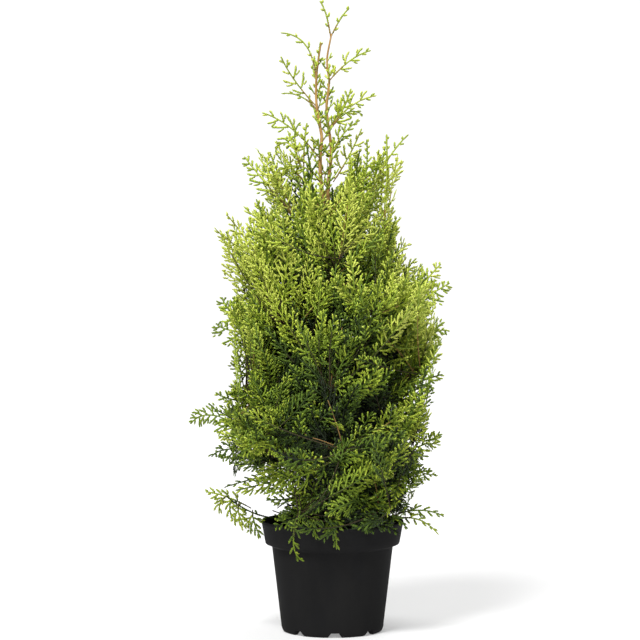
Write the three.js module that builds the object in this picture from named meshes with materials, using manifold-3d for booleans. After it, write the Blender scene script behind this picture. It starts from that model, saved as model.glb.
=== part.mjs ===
// A young thuja (arborvitae) in a round black nursery pot.
//
// Millimetres, +Z up. The origin is the middle of the pot's flat underside, on the ground.
// +X is the plant's right, -Y its front. The pot holds a plug of soil, the trunk stands on the
// soil and runs on into the left leader, and the foliage is set round the trunk in seven tiers,
// each tier lying on the sloping top of the one below it.

import * as THREE from "three";
import { mergeVertices } from "three/addons/utils/BufferGeometryUtils.js";
import Module from "manifold-3d";

// ---- driving dimensions ------------------------------------------------------------------

const gap = 0.3; // air left between two pieces that touch
const overcut = 1; // how far a cutting shape stands out of what it cuts

const pot = {
  height: 148,
  rimRadius: 95, // outside, at the top
  rimFootRadius: 89.5, // outside, where the rim band ends
  rimDepth: 30,
  shoulderRadius: 80.7, // outside, just under the rim band
  shoulderDrop: 4.4, // height of the slanted ledge under the rim band
  lowRadius: 68.5, // outside, where the bottom edge starts to round
  lowHeight: 10,
  footRadius: 64, // outside edge of the ring that it stands on
  footWidth: 5,
  edgeRise: 3, // where the rounded bottom edge is halfway out
  edgeBulge: 0.8,
  wall: 1.6,
  floorLift: 5, // the floor is raised by this between the foot ring and the centre pad
  floorSlant: 1.5, // how far the inside of the foot ring leans inwards
  padRadius: 30,
  padSlant: 2,
  lipDepth: 3.2, // the lip stands out a little at the top of the rim band
  lipStep: 0.8,
  lipBevel: 1.2,
  segments: 40,
  notches: 8, // openings in the foot ring that let water out
  notchWidth: 20,
  notchTopWidth: 10,
  notchHeight: 6.6,
  notchLength: 14,
  notchTurn: 2.6, // degrees that the front notch is turned from straight ahead
  drainHoles: 8,
  drainRadius: 4,
  drainCircle: 45,
};

const soil = {
  top: 129,
  sideGap: 0.5,
};

const trunk = {
  foot: 10, // radius of the flare on the soil
  base: 6.4, // radius above the flare
  fork: 3.1, // radius where the right leader leaves
  tip: 0.9,
  flareHeight: 26,
  forkHeight: 547,
  tipHeight: 783,
  sides: 8,
  rings: 26,
};

// The line of the trunk and of the left leader above it.
const trunkLine = [
  [0, 0, soil.top + gap],
  [-1, 0, 160],
  [-4, 2, 240],
  [-8, 3, 340],
  [-10, 1, 440],
  [-11, 0, trunk.forkHeight],
  [-14.8, -1, 594.5],
  [-17.3, -2, 624],
  [-13.6, -2, 654],
  [-21, 0, 696],
  [-21.5, 2, 739],
  [-15, 2, trunk.tipHeight],
];

// The right leader stands close beside the left one, and is the taller of the two.
const rightLeader = {
  base: 2.1,
  tip: 0.8,
  sides: 8,
  rings: 16,
  line: [
    [-5.2, 0, 546],
    [-5.6, 1, 594.5],
    [-1.6, 2, 640],
    [-8.2, 2, 697],
    [-4, 0, 733],
    [-8, -2, 756],
    [-1.2, -2, 795],
  ],
};

// Each tier lies between two cones round the trunk. floor is where the lower cone meets the
// trunk's line, slope is how fast it climbs outwards, and the next tier's cone closes the top.
// left, right and depth are how far the masses reach to each side, core is the clear radius
// round the trunk, and leftTip and rightTip say where the tips end, from -1 on the lower cone
// to 1 on the upper one. boughs is how many of the masses have a bare bough leading to them.
const tiers = [
  {
    name: "skirt", floor: 170, slope: -0.2, count: 6, turn: 8, core: 46, boughs: 6,
    left: 154, right: 147, depth: 138, leftTip: 0.2, rightTip: -1,
  },
  {
    name: "low", floor: 190, slope: 0.15, count: 6, turn: -22, core: 42, boughs: 6,
    left: 184, right: 153, depth: 142, leftTip: 0.6, rightTip: 0.5,
  },
  {
    name: "lower", floor: 245, slope: 0.35, count: 5, turn: -18, core: 38, boughs: 4,
    left: 136, right: 162, depth: 142, leftTip: -0.5, rightTip: 0.9,
  },
  {
    name: "middle", floor: 305, slope: 0.6, count: 5, turn: 18, core: 30, boughs: 0,
    left: 149, right: 166, depth: 140, leftTip: -0.7, rightTip: 0.5,
  },
  {
    name: "upper", floor: 370, slope: 0.85, count: 4, turn: 10, core: 24, boughs: 0,
    left: 149, right: 123, depth: 118, leftTip: -0.9, rightTip: 0.4,
  },
  {
    name: "shoulder", floor: 440, slope: 1.1, count: 3, turn: 30, core: 18, boughs: 0,
    left: 112, right: 114, depth: 92, leftTip: 0.1, rightTip: 0.3,
  },
  {
    name: "spire", floor: 515, slope: 1.3, count: 2, turn: 0, core: 15, boughs: 0,
    left: 52, right: 56, depth: 48, leftTip: 0.2, rightTip: 0.9,
  },
];
const crownTop = { floor: 592, slope: 1.5 };

// The opening low on the left, over the rim, that goes right through the skirt from front to
// back: its sides, how softly they end, and the share of the skirt's height that stands open.
const skirtGap = { tier: "skirt", left: -128, right: -66, feather: 16, open: 0.78 };

const tierGap = 1.6; // air between a tier's masses and the cones that bound it
const sectorFill = 0.96; // share of its sector of the circle that a mass may take
const reachSpread = 0.06; // how much the reach varies from mass to mass
const sideways = 1.5; // how quickly the reach turns from the sides' to the front's and back's
const tipWander = 0.8; // how far a tip may lie off its mass's middle, as a share of the sector

const boughGap = 2.2; // air between a bough's end and the root of its mass
const bough = {
  base: 3.3,
  tip: 1.9,
  climb: 26, // how far below its mass a bough leaves the trunk
  sag: 4,
  sides: 6,
  rings: 4,
};

// Thin flat sprays that stand clear of the crown on the two leaders, and one frond that hangs
// over the pot's rim: a line from root to tip, with the width across it and the thickness.
const sprays = [
  {
    name: "sprig_nodding", width: 9, thickness: 5,
    line: [[-25.5, 2, 741], [-31, 3, 767], [-42, 4, 790], [-67, 4, 796]],
  },
  {
    name: "spray_left_high", width: 30, thickness: 9,
    line: [[-25, 1, 706], [-46, 6, 728], [-68, 8, 764]],
  },
  {
    name: "spray_left_low", width: 32, thickness: 12,
    line: [[-23, -2, 637], [-52, -8, 668], [-92, -12, 690]],
  },
  {
    name: "spray_right_high", width: 14, thickness: 7,
    line: [[-0.5, -1, 741], [20, -6, 757], [49, -10, 772]],
  },
  {
    name: "spray_right_fan", width: 24, thickness: 8,
    line: [[-0.5, 4, 679], [24, 8, 699], [57, 12, 713]],
  },
  {
    name: "sprig_top_left", width: 8, thickness: 5,
    line: [[-3.5, -2, 797.5], [-8, -2, 818], [-16, -3, 837]],
  },
  {
    name: "sprig_top_right", width: 8, thickness: 5,
    line: [[3, -3, 796.5], [9, -4, 812], [21, -6, 827]],
  },
  {
    name: "frond_hanging", width: 30, thickness: 5,
    line: [[-70, -92, 150.8], [-64, -102, 128], [-54, -106, 92]],
  },
];

const dentDepth = 0.13; // how deep the dents in a mass go, as a share of its half width
const squareness = 5; // 2 makes a mass round across, and more fills the corners of its space
const massSides = 10;
const massRings = 8;
const sprayRings = 6;

const colours = {
  pot: 0x212121,
  soil: 0x2e241b,
  trunk: 0x4b3626,
  bough: 0x6b4d30,
  leader: 0x8c6c3a,
  lowFoliage: 0x56673a,
  highFoliage: 0xa8b05c,
};

const random = (seed) => {
  const wave = Math.sin(seed * 127.1 + 11.7) * 43758.5453;
  return wave - Math.floor(wave);
};

// ---- materials ---------------------------------------------------------------------------

const plainMaterial = (colour, roughness) =>
  new THREE.MeshStandardMaterial({ color: colour, roughness, metalness: 0 });

const foliageMaterial = (height) => {
  const share = THREE.MathUtils.clamp((height - soil.top) / (trunk.tipHeight - soil.top), 0, 1);
  const colour = new THREE.Color(colours.lowFoliage).lerp(new THREE.Color(colours.highFoliage), share);
  return new THREE.MeshStandardMaterial({ color: colour, roughness: 0.75, metalness: 0 });
};

// ---- pot ---------------------------------------------------------------------------------

const wasm = await Module();
wasm.setup();

const toSolid = (geometry) => {
  const bare = geometry.clone();
  bare.deleteAttribute("normal");
  bare.deleteAttribute("uv");
  const welded = mergeVertices(bare, 1e-4);
  return new wasm.Manifold(
    new wasm.Mesh({
      numProp: 3,
      vertProperties: new Float32Array(welded.attributes.position.array),
      triVerts: new Uint32Array(welded.index.array),
    }),
  );
};

const toGeometry = (solid) => {
  const mesh = solid.getMesh();
  const geometry = new THREE.BufferGeometry();
  geometry.setAttribute("position", new THREE.BufferAttribute(new Float32Array(mesh.vertProperties), 3));
  geometry.setIndex(new THREE.BufferAttribute(new Uint32Array(mesh.triVerts), 1));
  geometry.computeVertexNormals();
  return geometry;
};

// Turns a profile of [radius, height] points, which closes on the axis, into a solid about Z.
const turned = (profile, segments) => {
  const points = profile.map(([radius, height]) => new THREE.Vector2(radius, height));
  const geometry = new THREE.LatheGeometry(points, segments);
  geometry.rotateX(Math.PI / 2);
  return geometry;
};

const rimFoot = pot.height - pot.rimDepth;
const shoulder = rimFoot - pot.shoulderDrop;

const potGeometry = () => {
  const inner = pot.footRadius - pot.footWidth;
  const floorTop = pot.floorLift + pot.wall;
  const outside = [
    [0, 0],
    [pot.padRadius, 0],
    [pot.padRadius + pot.padSlant, pot.floorLift],
    [inner - pot.floorSlant, pot.floorLift],
    [inner, 0],
    [pot.footRadius, 0],
    [(pot.footRadius + pot.lowRadius) / 2 + pot.edgeBulge, pot.edgeRise],
    [pot.lowRadius, pot.lowHeight],
    [pot.shoulderRadius, shoulder],
    [pot.rimFootRadius, rimFoot],
    [pot.rimRadius - pot.lipStep, pot.height - pot.lipDepth],
    [pot.rimRadius, pot.height - pot.lipBevel],
    [pot.rimRadius - pot.lipBevel / 2, pot.height],
  ];
  const inside = [
    [pot.rimRadius - pot.lipStep - pot.wall, pot.height],
    [pot.rimFootRadius - pot.wall, rimFoot + pot.wall / 2],
    [pot.shoulderRadius - pot.wall, shoulder + pot.wall / 2],
    [pot.lowRadius - pot.wall, pot.lowHeight],
    [pot.lowRadius - 2 * pot.wall, floorTop],
    [pot.padRadius + pot.padSlant / 2, floorTop],
    [pot.padRadius - pot.padSlant / 2, pot.wall],
    [0, pot.wall],
  ];
  let solid = toSolid(turned([...outside, ...inside], pot.segments));
  const notchShape = new THREE.Shape([
    new THREE.Vector2(-pot.notchWidth / 2, -overcut),
    new THREE.Vector2(pot.notchWidth / 2, -overcut),
    new THREE.Vector2(pot.notchTopWidth / 2, pot.notchHeight),
    new THREE.Vector2(-pot.notchTopWidth / 2, pot.notchHeight),
  ]);
  for (let index = 0; index < pot.notches; index += 1) {
    const cutter = new THREE.ExtrudeGeometry(notchShape, { depth: pot.notchLength, bevelEnabled: false });
    cutter.rotateX(Math.PI / 2);
    cutter.translate(0, overcut - inner, 0);
    cutter.rotateZ((index / pot.notches) * 2 * Math.PI + THREE.MathUtils.degToRad(pot.notchTurn));
    solid = solid.subtract(toSolid(cutter));
  }
  for (let index = 0; index < pot.drainHoles; index += 1) {
    const hole = new THREE.CylinderGeometry(pot.drainRadius, pot.drainRadius, 2 * pot.floorLift, 12);
    hole.rotateX(Math.PI / 2);
    hole.translate(0, pot.drainCircle, pot.floorLift);
    hole.rotateZ(((index + 0.5) / pot.drainHoles) * 2 * Math.PI);
    solid = solid.subtract(toSolid(hole));
  }
  return toGeometry(solid);
};

// The plug of soil follows the inside of the pot and stops short of the rim.
const soilGeometry = () => {
  const side = pot.wall + soil.sideGap;
  const floorTop = pot.floorLift + side;
  return turned(
    [
      [0, side],
      [pot.padRadius - pot.padSlant / 2 - soil.sideGap, side],
      [pot.padRadius + pot.padSlant / 2 - soil.sideGap, floorTop],
      [pot.lowRadius - 2 * pot.wall - soil.sideGap, floorTop],
      [pot.lowRadius - side, pot.lowHeight + soil.sideGap],
      [pot.shoulderRadius - side, shoulder + pot.wall],
      [pot.rimFootRadius - 2 * side, rimFoot + 2 * pot.wall],
      [pot.rimFootRadius - side, soil.top],
      [0, soil.top],
    ],
    pot.segments,
  );
};

// ---- trunk, leader and boughs --------------------------------------------------------------

const curveThrough = (points) =>
  new THREE.CatmullRomCurve3(points.map((point) => new THREE.Vector3(...point)));

// A round limb along a curve: a cylinder whose rings are moved onto the curve, each ring square
// to it and as wide as radiusAt(share of the length). level keeps the first ring flat.
const limbGeometry = (curve, radiusAt, sides, rings, level = false) => {
  const geometry = new THREE.CylinderGeometry(1, 1, 1, sides, rings);
  const position = geometry.attributes.position;
  const point = new THREE.Vector3();
  for (let index = 0; index < position.count; index += 1) {
    point.fromBufferAttribute(position, index);
    const share = point.y + 0.5;
    const tangent = level && share < 1e-6 ? new THREE.Vector3(0, 0, 1) : curve.getTangentAt(share);
    const back = new THREE.Vector3(0, 1, 0).addScaledVector(tangent, -tangent.y).normalize();
    const across = new THREE.Vector3().crossVectors(tangent, back);
    const radius = radiusAt(share);
    const place = curve
      .getPointAt(share)
      .addScaledVector(across, point.x * radius)
      .addScaledVector(back, point.z * radius);
    position.setXYZ(index, place.x, place.y, place.z);
  }
  geometry.computeVertexNormals();
  return geometry;
};

const trunkCurve = curveThrough(trunkLine);
const forkShare = (trunk.forkHeight - soil.top) / (trunk.tipHeight - soil.top);

const trunkRadius = (share) => {
  const height = share * (trunk.tipHeight - soil.top);
  const flare = (trunk.foot - trunk.base) * Math.max(0, 1 - height / trunk.flareHeight) ** 2;
  if (share < forkShare) {
    return flare + THREE.MathUtils.lerp(trunk.base, trunk.fork, share / forkShare);
  }
  return THREE.MathUtils.lerp(trunk.fork, trunk.tip, (share - forkShare) / (1 - forkShare));
};

// Where the trunk's line is at a height. Above the fork it runs between the two leaders.
const axisAt = (height) => {
  const last = trunkLine.findIndex(([, , z]) => z >= height);
  if (last <= 0) {
    const [x, y] = trunkLine[last === 0 ? 0 : trunkLine.length - 1];
    return new THREE.Vector3(x, y, height);
  }
  const [lowX, lowY, lowZ] = trunkLine[last - 1];
  const [highX, highY, highZ] = trunkLine[last];
  const share = (height - lowZ) / (highZ - lowZ);
  return new THREE.Vector3(
    THREE.MathUtils.lerp(lowX, highX, share),
    THREE.MathUtils.lerp(lowY, highY, share),
    height,
  );
};

// ---- foliage -----------------------------------------------------------------------------

// How full a lump is along its length, from 0 at the root and the tip to 1 where it is widest.
// A small root power makes the root blunt, and a small tip power the tip.
const outline = (rootPower, tipPower) => {
  const widest = rootPower / (rootPower + tipPower);
  const most = widest ** rootPower * (1 - widest) ** tipPower;
  const fullness = (share) => (share ** rootPower * (1 - share) ** tipPower) / most;
  return { widest, fullness };
};
const massOutline = outline(0.16, 0.27);
const sprayOutline = outline(1.1, 0.7);

// A closed uneven lump. place(share, side, rise) gives the point that lies share of the way
// from root to tip, with side and rise from -1 to 1 across it and up it.
const lumpGeometry = (place, { fullness }, sides, rings, seed) => {
  const geometry = new THREE.SphereGeometry(1, sides, rings);
  const position = geometry.attributes.position;
  const point = new THREE.Vector3();
  for (let index = 0; index < position.count; index += 1) {
    point.fromBufferAttribute(position, index);
    const share = THREE.MathUtils.clamp((1 - point.y) / 2, 0, 1);
    const around = Math.hypot(point.x, point.z);
    const side = around < 1e-6 ? 0 : point.x / around;
    const rise = around < 1e-6 ? 0 : point.z / around;
    const corner = Math.abs(side) ** squareness + Math.abs(rise) ** squareness + 1e-9;
    const square = corner ** (-1 / squareness);
    const angle = Math.atan2(rise, side);
    const ripple = Math.sin(3 * angle + 9 * share + seed) * Math.cos(2 * angle - 7 * share + 2 * seed);
    const full = around < 1e-6 ? 0 : fullness(share);
    const spread = full * square * (1 - dentDepth * (0.5 + 0.5 * ripple));
    const placed = place(share, side * spread, rise * spread, full);
    position.setXYZ(index, placed.x, placed.y, placed.z);
  }
  geometry.computeVertexNormals();
  return geometry;
};

// How far a tier reaches in a direction: its own left, right and front-to-back sizes blended.
const reachOf = (tier, angle) => {
  const across = Math.abs(Math.cos(angle)) ** sideways;
  return THREE.MathUtils.lerp(tier.depth, Math.cos(angle) > 0 ? tier.right : tier.left, across);
};

// The share of the skirt's height that is left under the opening, at a place from left to right.
const heightUnderGap = (x) => {
  const { left, right, feather, open } = skirtGap;
  const fromLeft = THREE.MathUtils.smoothstep(x, left - feather, left + feather);
  const toRight = 1 - THREE.MathUtils.smoothstep(x, right - feather, right + feather);
  return 1 - open * fromLeft * toRight;
};

// The masses of one tier, each in its own sector between the tier's two cones.
const tierMasses = (tier, above, tierIndex) => {
  const masses = [];
  for (let index = 0; index < tier.count; index += 1) {
    const seed = 1 + tierIndex * 10 + index;
    const angle = THREE.MathUtils.degToRad(tier.turn + (index * 360) / tier.count);
    const reach = reachOf(tier, angle) * (1 + reachSpread * (random(seed) - 0.5));
    const halfSector = (Math.PI / tier.count) * sectorFill;
    const leftShare = (1 - Math.cos(angle)) / 2;
    const tipRise = THREE.MathUtils.lerp(tier.rightTip, tier.leftTip, leftShare);
    const tipSide = tipWander * (random(seed + 0.5) - 0.5);
    const middleAt = (radius) =>
      (tier.floor + tier.slope * radius + above.floor + above.slope * radius) / 2;
    const place = (share, side, rise, full) => {
      const radius = THREE.MathUtils.lerp(tier.core, reach, share);
      const half = (above.floor + above.slope * radius - tier.floor - tier.slope * radius) / 2 - tierGap;
      const drift = share > massOutline.widest ? 1 - full : 0;
      const turn = angle + halfSector * (side + tipSide * drift);
      const thin = tier.name === skirtGap.tier ? heightUnderGap(radius * Math.cos(turn)) : 1;
      const height = middleAt(radius) + half * (thin * (rise + tipRise * drift + 1) - 1);
      const placed = axisAt(height);
      placed.x += radius * Math.cos(turn);
      placed.y += radius * Math.sin(turn);
      return placed;
    };
    masses.push({ angle, seed, place, height: middleAt(reach / 2), root: place(0, 0, 0, 0) });
  }
  return masses;
};

const sideNames = ["right", "back_right", "back", "back_left", "left", "front_left", "front", "front_right"];

const sideName = (angle) => {
  const step = Math.round((angle / (2 * Math.PI)) * sideNames.length);
  return sideNames[(step + sideNames.length) % sideNames.length];
};

// A bough leaves the trunk below its mass, climbs beside it and ends just short of the mass.
const boughGeometry = (mass) => {
  const outward = new THREE.Vector3(Math.cos(mass.angle), Math.sin(mass.angle), 0);
  const start = axisAt(mass.root.z - bough.climb);
  const stem = trunkRadius((start.z - soil.top) / (trunk.tipHeight - soil.top));
  start.addScaledVector(outward, stem + bough.base + gap);
  const end = mass.root.clone().addScaledVector(outward, -boughGap);
  const middle = start.clone().lerp(end, 0.5);
  middle.z -= bough.sag;
  const curve = new THREE.CatmullRomCurve3([start, middle, end]);
  const radiusAt = (share) => THREE.MathUtils.lerp(bough.base, bough.tip, share);
  return limbGeometry(curve, radiusAt, bough.sides, bough.rings);
};

// A thin flat mass along a line, lying in the plane that faces the front.
const sprayGeometry = (spray, seed) => {
  const curve = curveThrough(spray.line);
  const place = (share, side, rise) => {
    const tangent = curve.getTangentAt(share);
    const through = new THREE.Vector3(0, 1, 0).addScaledVector(tangent, -tangent.y).normalize();
    const across = new THREE.Vector3().crossVectors(tangent, through);
    return curve
      .getPointAt(share)
      .addScaledVector(across, (side * spray.width) / 2)
      .addScaledVector(through, (-rise * spray.thickness) / 2);
  };
  return lumpGeometry(place, sprayOutline, massSides, sprayRings, seed);
};

// ---- the plant ---------------------------------------------------------------------------

const plant = new THREE.Group();

const addPiece = (name, geometry, material) => {
  const piece = new THREE.Mesh(geometry, material);
  piece.name = name;
  plant.add(piece);
};

addPiece("pot", potGeometry(), plainMaterial(colours.pot, 0.45));
addPiece("potting_soil", soilGeometry(), plainMaterial(colours.soil, 0.95));
addPiece(
  "trunk",
  limbGeometry(trunkCurve, trunkRadius, trunk.sides, trunk.rings, true),
  plainMaterial(colours.trunk, 0.85),
);
addPiece(
  "right_leader",
  limbGeometry(
    curveThrough(rightLeader.line),
    (share) => THREE.MathUtils.lerp(rightLeader.base, rightLeader.tip, share),
    rightLeader.sides,
    rightLeader.rings,
  ),
  plainMaterial(colours.leader, 0.8),
);

tiers.forEach((tier, tierIndex) => {
  const above = tiers[tierIndex + 1] ?? crownTop;
  tierMasses(tier, above, tierIndex).forEach((mass, index) => {
    const side = sideName(mass.angle);
    addPiece(
      `foliage_${tier.name}_${side}`,
      lumpGeometry(mass.place, massOutline, massSides, massRings, mass.seed),
      foliageMaterial(mass.height),
    );
    if (index < tier.boughs) {
      addPiece(`bough_${tier.name}_${side}`, boughGeometry(mass), plainMaterial(colours.bough, 0.85));
    }
  });
});

sprays.forEach((spray, index) => {
  addPiece(spray.name, sprayGeometry(spray, index + 1), foliageMaterial(spray.line[0][2]));
});

export default plant;
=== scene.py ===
import math
import bpy
import numpy as np
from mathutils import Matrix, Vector, noise


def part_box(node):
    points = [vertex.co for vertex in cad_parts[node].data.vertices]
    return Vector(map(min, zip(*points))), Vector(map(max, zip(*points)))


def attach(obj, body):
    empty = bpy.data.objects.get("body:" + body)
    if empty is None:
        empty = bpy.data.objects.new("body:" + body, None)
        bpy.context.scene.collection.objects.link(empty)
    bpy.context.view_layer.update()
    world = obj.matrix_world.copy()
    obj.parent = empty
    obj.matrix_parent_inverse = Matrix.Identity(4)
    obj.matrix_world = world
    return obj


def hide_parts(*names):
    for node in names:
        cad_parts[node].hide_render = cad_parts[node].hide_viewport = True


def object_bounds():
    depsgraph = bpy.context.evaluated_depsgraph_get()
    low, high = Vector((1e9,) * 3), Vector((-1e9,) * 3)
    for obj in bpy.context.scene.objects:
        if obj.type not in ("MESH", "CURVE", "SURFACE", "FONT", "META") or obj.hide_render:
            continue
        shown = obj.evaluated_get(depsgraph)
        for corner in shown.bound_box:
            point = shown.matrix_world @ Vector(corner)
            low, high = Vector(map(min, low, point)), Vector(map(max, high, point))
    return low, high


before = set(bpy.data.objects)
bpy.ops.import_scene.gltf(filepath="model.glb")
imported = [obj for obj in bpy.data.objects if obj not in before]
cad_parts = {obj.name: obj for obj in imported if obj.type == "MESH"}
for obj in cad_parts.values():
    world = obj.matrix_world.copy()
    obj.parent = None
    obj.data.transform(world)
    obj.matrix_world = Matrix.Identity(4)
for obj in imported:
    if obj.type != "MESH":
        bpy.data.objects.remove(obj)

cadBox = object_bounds()
mm = 0.001
up = np.array([0.0, 0.0, 1.0])
print("frame loaded:", len(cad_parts), "nodes")


# small helpers

def clearSelection():
    if bpy.context.object and bpy.context.object.mode != "OBJECT":
        bpy.ops.object.mode_set(mode="OBJECT")
    bpy.ops.object.select_all(action="DESELECT")


def selectOnly(piece):
    clearSelection()
    piece.select_set(True)
    bpy.context.view_layer.objects.active = piece


def addObject(name, data):
    thing = bpy.data.objects.new(name, data)
    bpy.context.scene.collection.objects.link(thing)
    return thing


def startEdit():
    bpy.ops.object.mode_set(mode="EDIT")
    bpy.ops.mesh.select_all(action="SELECT")


def extrudeEdges(move):
    bpy.ops.mesh.extrude_edges_move(TRANSFORM_OT_translate={"value": move})


def selectOpenEdge():
    bpy.ops.mesh.select_mode(type="EDGE")
    bpy.ops.mesh.select_all(action="DESELECT")
    bpy.ops.mesh.select_non_manifold()


def finishEdit():
    bpy.ops.mesh.select_all(action="SELECT")
    bpy.ops.mesh.normals_make_consistent(inside=False)
    bpy.ops.object.mode_set(mode="OBJECT")


def settle(piece, name, material):
    # puts the piece's place into its mesh and hangs it on the plant's one body
    selectOnly(piece)
    bpy.ops.object.transform_apply(location=True, rotation=True, scale=True)
    piece.name = piece.data.name = name
    piece.data.materials.clear()
    piece.data.materials.append(material)
    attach(piece, "root")
    return piece


def meshFrom(name, points, triangles):
    # one mesh from arrays of points and triangles
    mesh = bpy.data.meshes.new(name)
    mesh.vertices.add(len(points))
    mesh.vertices.foreach_set("co", points.astype(np.float32).ravel())
    mesh.loops.add(triangles.size)
    mesh.loops.foreach_set("vertex_index", triangles.astype(np.int32).ravel())
    mesh.polygons.add(len(triangles))
    mesh.polygons.foreach_set("loop_start", np.arange(0, triangles.size, 3, dtype=np.int32))
    mesh.polygons.foreach_set("loop_total", np.full(len(triangles), 3, np.int32))
    mesh.update(calc_edges=True)
    return addObject(name, mesh)


def unit(vectors):
    return vectors / np.maximum(np.linalg.norm(vectors, axis=-1, keepdims=True), 1e-9)


def blend(low, high, share):
    return low + (high - low) * share


def nodeTriangles(name):
    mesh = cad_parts[name].data
    mesh.calc_loop_triangles()
    points = np.empty(len(mesh.vertices) * 3, np.float32)
    mesh.vertices.foreach_get("co", points)
    corners = np.empty(len(mesh.loop_triangles) * 3, np.int32)
    mesh.loop_triangles.foreach_get("vertices", corners)
    return points.reshape(-1, 3).astype(float)[corners].reshape(-1, 3, 3)


def nodePoints(name):
    return np.unique(np.round(nodeTriangles(name).reshape(-1, 3), 5), axis=0)


# materials

def startMaterial(name, colour, roughness, specular):
    material = bpy.data.materials.new(name)
    material.use_nodes = True
    shader = material.node_tree.nodes["Principled BSDF"]
    shader.inputs["Base Color"].default_value = (*colour, 1)
    shader.inputs["Roughness"].default_value = roughness
    shader.inputs["Specular IOR Level"].default_value = specular
    return material, material.node_tree, shader


def addNode(tree, kind, **values):
    node = tree.nodes.new(kind)
    for key, value in values.items():
        if key in node.inputs:
            node.inputs[key].default_value = value
        else:
            setattr(node, key, value)
    return node


def wire(tree, source, output, target, socket):
    tree.links.new(source.outputs[output], target.inputs[socket])


def objectNoise(tree, scale, detail=3.0, stretch=(1, 1, 1)):
    place = addNode(tree, "ShaderNodeTexCoord")
    mapping = addNode(tree, "ShaderNodeMapping", Scale=stretch)
    pattern = addNode(tree, "ShaderNodeTexNoise", Scale=scale, Detail=detail)
    wire(tree, place, "Object", mapping, "Vector")
    wire(tree, mapping, "Vector", pattern, "Vector")
    return pattern


def addBump(tree, shader, pattern, strength, distance):
    bump = addNode(tree, "ShaderNodeBump", Strength=strength, Distance=distance)
    wire(tree, pattern, "Fac", bump, "Height")
    wire(tree, bump, "Normal", shader, "Normal")


def ramp(tree, pattern, stops):
    node = addNode(tree, "ShaderNodeValToRGB")
    while len(node.color_ramp.elements) < len(stops):
        node.color_ramp.elements.new(0.5)
    for element, (place, colour) in zip(node.color_ramp.elements, stops):
        element.position = place
        element.color = (*colour, 1)
    wire(tree, pattern, "Fac", node, "Fac")
    return node


def varyRoughness(tree, shader, pattern, low, high, smoothest, roughest):
    # between the two roughnesses as the pattern goes from low to high
    gloss = ramp(tree, pattern, [(low, (smoothest,) * 3), (high, (roughest,) * 3)])
    wire(tree, gloss, "Color", shader, "Roughness")


def leafMaterial(name, colour, roughness):
    material, tree, shader = startMaterial(name, colour, roughness, 0.35)
    grain = objectNoise(tree, 900, 2)
    varyRoughness(tree, shader, grain, 0.3, 0.7, roughness - 0.08, roughness + 0.1)
    addBump(tree, shader, grain, 0.35, 0.0004)
    return material


# the trunk's line, read from the frame

def ringsOf(name, gap):
    # centres and radii of a limb's rings, from its lower end to its upper end
    points = nodePoints(name)
    middle = points.mean(axis=0)
    direction = np.linalg.svd(points - middle, full_matrices=False)[2][0]
    direction = direction * np.sign(direction[2])
    along = (points - middle) @ direction
    order = np.argsort(along)
    breaks = np.flatnonzero(np.diff(along[order]) > gap) + 1
    rings = np.split(points[order], breaks)
    centres = np.array([ring.mean(axis=0) for ring in rings])
    radii = np.array([np.linalg.norm(ring - centre, axis=1).max() for ring, centre in zip(rings, centres)])
    return centres, radii


trunkCentres, trunkRadii = ringsOf("trunk", 5 * mm)
leaderCentres, leaderRadii = ringsOf("right_leader", 4 * mm)


def trunkAt(height):
    # middle of the trunk at a height, and above its tip the tip's
    x = np.interp(height, trunkCentres[:, 2], trunkCentres[:, 0])
    y = np.interp(height, trunkCentres[:, 2], trunkCentres[:, 1])
    return np.stack([x, y, np.asarray(height, float)], axis=-1)


print("trunk:", len(trunkCentres), "rings, right leader:", len(leaderCentres), "rings")

# bark: trunk, right leader and boughs, with long shallow ridges

barkSettings = {
    "sides": 20,
    "step": 3 * mm,
    "ridgeDepth": 0.09,  # share of the radius
    "flakeDepth": 0.35 * mm,
    "ridges": (3.2, 22),  # how close together they are round the limb, and how short along it
    "flakes": 420,
    "core": 0.2,  # share of the radius inside which the end caps stay flat
    "footStout": 1.25,  # a bough is thicker where it enters the trunk
    "boughFoot": 4 * mm,  # how far down the trunk the foot of a bough starts
    "leaderFoot": 12 * mm,
    "youngFrom": 0.50,  # height where the brown bark turns to a young stem's colour
    "youngTo": 0.62,
    "leaderStout": 1.3,  # the bark stands out from the frame's slim leader
}


def lengthsAlong(line):
    return np.concatenate([[0], np.cumsum(np.linalg.norm(np.diff(line, axis=0), axis=1))])


def pointsAlong(line, count):
    lengths = lengthsAlong(line)
    at = np.linspace(0, lengths[-1], count)
    return np.stack([np.interp(at, lengths, line[:, axis]) for axis in range(3)], axis=1)


def resample(centres, radii, step):
    lengths = lengthsAlong(centres)
    count = max(4, int(lengths[-1] / step))
    smooth = pointsAlong(centres, count)
    for _ in range(3):  # takes the corners off the line
        smooth[1:-1] = (smooth[:-2] + 2 * smooth[1:-1] + smooth[2:]) / 4
    return smooth, np.interp(np.linspace(0, lengths[-1], count), lengths, radii)


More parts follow.
